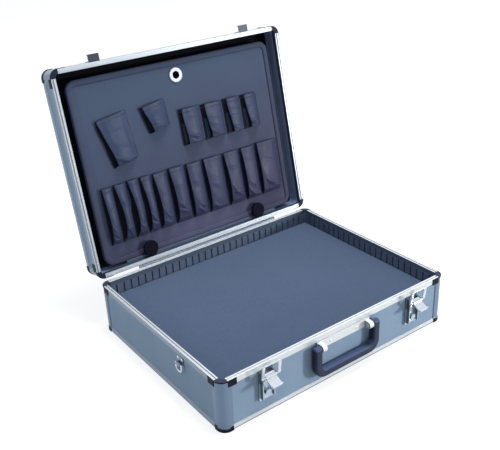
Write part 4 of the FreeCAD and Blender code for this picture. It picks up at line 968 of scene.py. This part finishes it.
def build_lining():
    low, high = closed_box("lid_liner")
    gauge, corner, round_over = 1.4 * MM, 8.8 * MM, 3.5 * MM
    half_x, half_y = (high.x - low.x) / 2 - gauge, (high.y - low.y) / 2 - gauge
    middle_y = (high.y + low.y) / 2
    top = high.z - gauge
    section = [(0.0, low.z + step * (top - round_over - low.z)) for step in np.linspace(0, 1, 6)]
    section += [(round_over * (1 - math.cos(a)), top - round_over + round_over * math.sin(a))
                for a in np.linspace(0, math.pi / 2, 6)[1:]]
    ring = []
    for quarter, (sign_x, sign_y) in enumerate(((1, 1), (-1, 1), (-1, -1), (1, -1))):
        for angle in np.linspace(0, math.pi / 2, 8) + quarter * math.pi / 2:
            ring.append((sign_x, sign_y, math.cos(angle), math.sin(angle)))
    points = []
    for sign_x, sign_y, away_x, away_y in ring:
        for inset, z in section:
            radius = corner - inset
            x = sign_x * (half_x - corner) + radius * away_x
            y = sign_y * (half_y - corner) + radius * away_y
            points.append((x, middle_y + y, z))
    faces = [tuple(reversed(face)) for face in grid_faces(len(ring), len(section), wrap=True)]
    last = len(section) - 1
    faces.append(tuple(i * len(section) + last for i in reversed(range(len(ring)))))
    cloth = piece("lid_lining", opened(points), faces, "lining", "lid")
    thicken(cloth, gauge, -1.0)
    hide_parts("lid_liner")


# The two loose pockets lean; those of the rows stand straight
LOOSE_LEAN = math.radians(9.0)
build_foam()
build_pallet()
build_binding()
build_sleeves("pocket_large", LOOSE_LEAN, 11, sagging(0.2, 0.85), (6.0,))
build_sleeves("pocket_small", LOOSE_LEAN, 21, sagging(0.45, 0.7), (6.0,))
build_sleeves("pocket_row_upper", 0.0, 31, sagging(0.5, 1.0),
              (7.0, 11.5, 11.5, 12.0), pleated=True)
build_sleeves("pocket_row_lower", 0.0, 41, bulging,
              (3.0, 7.5, 7.4, 6.5, 5.0, 4.0, 0.6, 2.6, 3.6, 1.2, 0.2))
build_stitching()
build_lining()


# The stage: a pale floor, soft light and the camera at the viewing angle of the photograph

FLOOR_TONE, FLOOR_GLOW = 0.42, 0.74
SKY_BRIGHT_SIDE = (0.5, -0.2, 0.84)
LAMPS_AIM = Vector((0, 0.05, 0.12))
EYE = Vector((-0.6634, -0.8710, 0.7286))
AHEAD, RIGHT = Vector((0.5234, 0.7289, -0.4413)), Vector((0.7997, -0.5990, -0.0410))


def build_stage():
    bpy.ops.mesh.primitive_plane_add(size=30)
    floor = bpy.context.object
    floor.name = "floor"
    surface = bpy.data.materials.new("floor_paint")
    surface.use_nodes = True
    tree = surface.node_tree
    shader = tree.nodes["Principled BSDF"]
    shader.inputs["Base Color"].default_value = (FLOOR_TONE, FLOOR_TONE, FLOOR_TONE, 1)
    shader.inputs["Roughness"].default_value = 0.9
    shader.inputs["Emission Color"].default_value = (1, 1, 1, 1)
    glow = tree.nodes.new("ShaderNodeMath")
    glow.operation = "MULTIPLY"
    glow.inputs[1].default_value = FLOOR_GLOW
    tree.links.new(looked_at(tree), glow.inputs[0])
    tree.links.new(glow.outputs[0], shader.inputs["Emission Strength"])
    floor.data.materials.append(surface)

    world = bpy.data.worlds.new("studio")
    bpy.context.scene.world = world
    world.use_nodes = True
    tree = world.node_tree
    background = tree.nodes["Background"]
    background.inputs["Color"].default_value = (0.93, 0.96, 1.0, 1)
    tree.links.new(studio_light(tree), background.inputs["Strength"])

    lamp("top", (0.3, -0.1, 2.4), 0.8, 31)
    lamp("key", (1.6, -1.7, 0.35), 0.35, 29)
    lamp("side", (-1.4, 0.6, 0.75), 0.8, 4.2, (0.84, 0.9, 1.0))


def looked_at(tree):
    """1 where the view or a reflection or clear piece shows this; 0 where it gives light."""
    path = tree.nodes.new("ShaderNodeLightPath")
    total = path.outputs["Is Camera Ray"]
    for ray in ("Is Glossy Ray", "Is Transmission Ray"):
        join = tree.nodes.new("ShaderNodeMath")
        join.operation = "MAXIMUM"
        tree.links.new(total, join.inputs[0])
        tree.links.new(path.outputs[ray], join.inputs[1])
        total = join.outputs[0]
    return total


def studio_light(tree):
    """White where it is seen; as light, bright above and to the right and dim to the left."""
    way = tree.nodes.new("ShaderNodeTexCoord").outputs["Generated"]
    facing = tree.nodes.new("ShaderNodeVectorMath")
    facing.operation = "DOT_PRODUCT"
    facing.inputs[1].default_value = SKY_BRIGHT_SIDE
    tree.links.new(way, facing.inputs[0])
    soft = tree.nodes.new("ShaderNodeMapRange")
    tree.links.new(facing.outputs["Value"], soft.inputs["Value"])
    levels = {"From Min": -0.5, "From Max": 0.7, "To Min": 0.1, "To Max": 0.55}
    for socket, value in levels.items():
        soft.inputs[socket].default_value = value
    seen = tree.nodes.new("ShaderNodeMath")
    seen.operation = "MAXIMUM"
    tree.links.new(soft.outputs[0], seen.inputs[0])
    tree.links.new(looked_at(tree), seen.inputs[1])
    return seen.outputs[0]


def lamp(name, place, size, power, color=(1, 1, 1)):
    light = bpy.data.lights.new(name, "AREA")
    light.color = color
    light.shape = "DISK"
    light.size = size
    light.energy = power
    holder = bpy.data.objects.new(name, light)
    holder.location = place
    holder.rotation_euler = (LAMPS_AIM - Vector(place)).to_track_quat("-Z", "Y").to_euler()
    bpy.context.scene.collection.objects.link(holder)


def build_camera():
    ahead = AHEAD.normalized()
    right = (RIGHT - RIGHT.dot(ahead) * ahead).normalized()
    above = right.cross(ahead)
    camera = bpy.data.objects.new("camera", bpy.data.cameras.new("camera"))
    turn = Matrix((right, above, -ahead)).transposed().to_4x4()
    camera.matrix_world = Matrix.Translation(EYE) @ turn
    camera.data.sensor_width = 36.0
    camera.data.lens = 54.16
    camera.data.clip_end = 60.0
    bpy.context.scene.collection.objects.link(camera)
    bpy.context.scene.camera = camera


build_stage()
build_camera()
bpy.context.scene.view_settings.view_transform = "Standard"
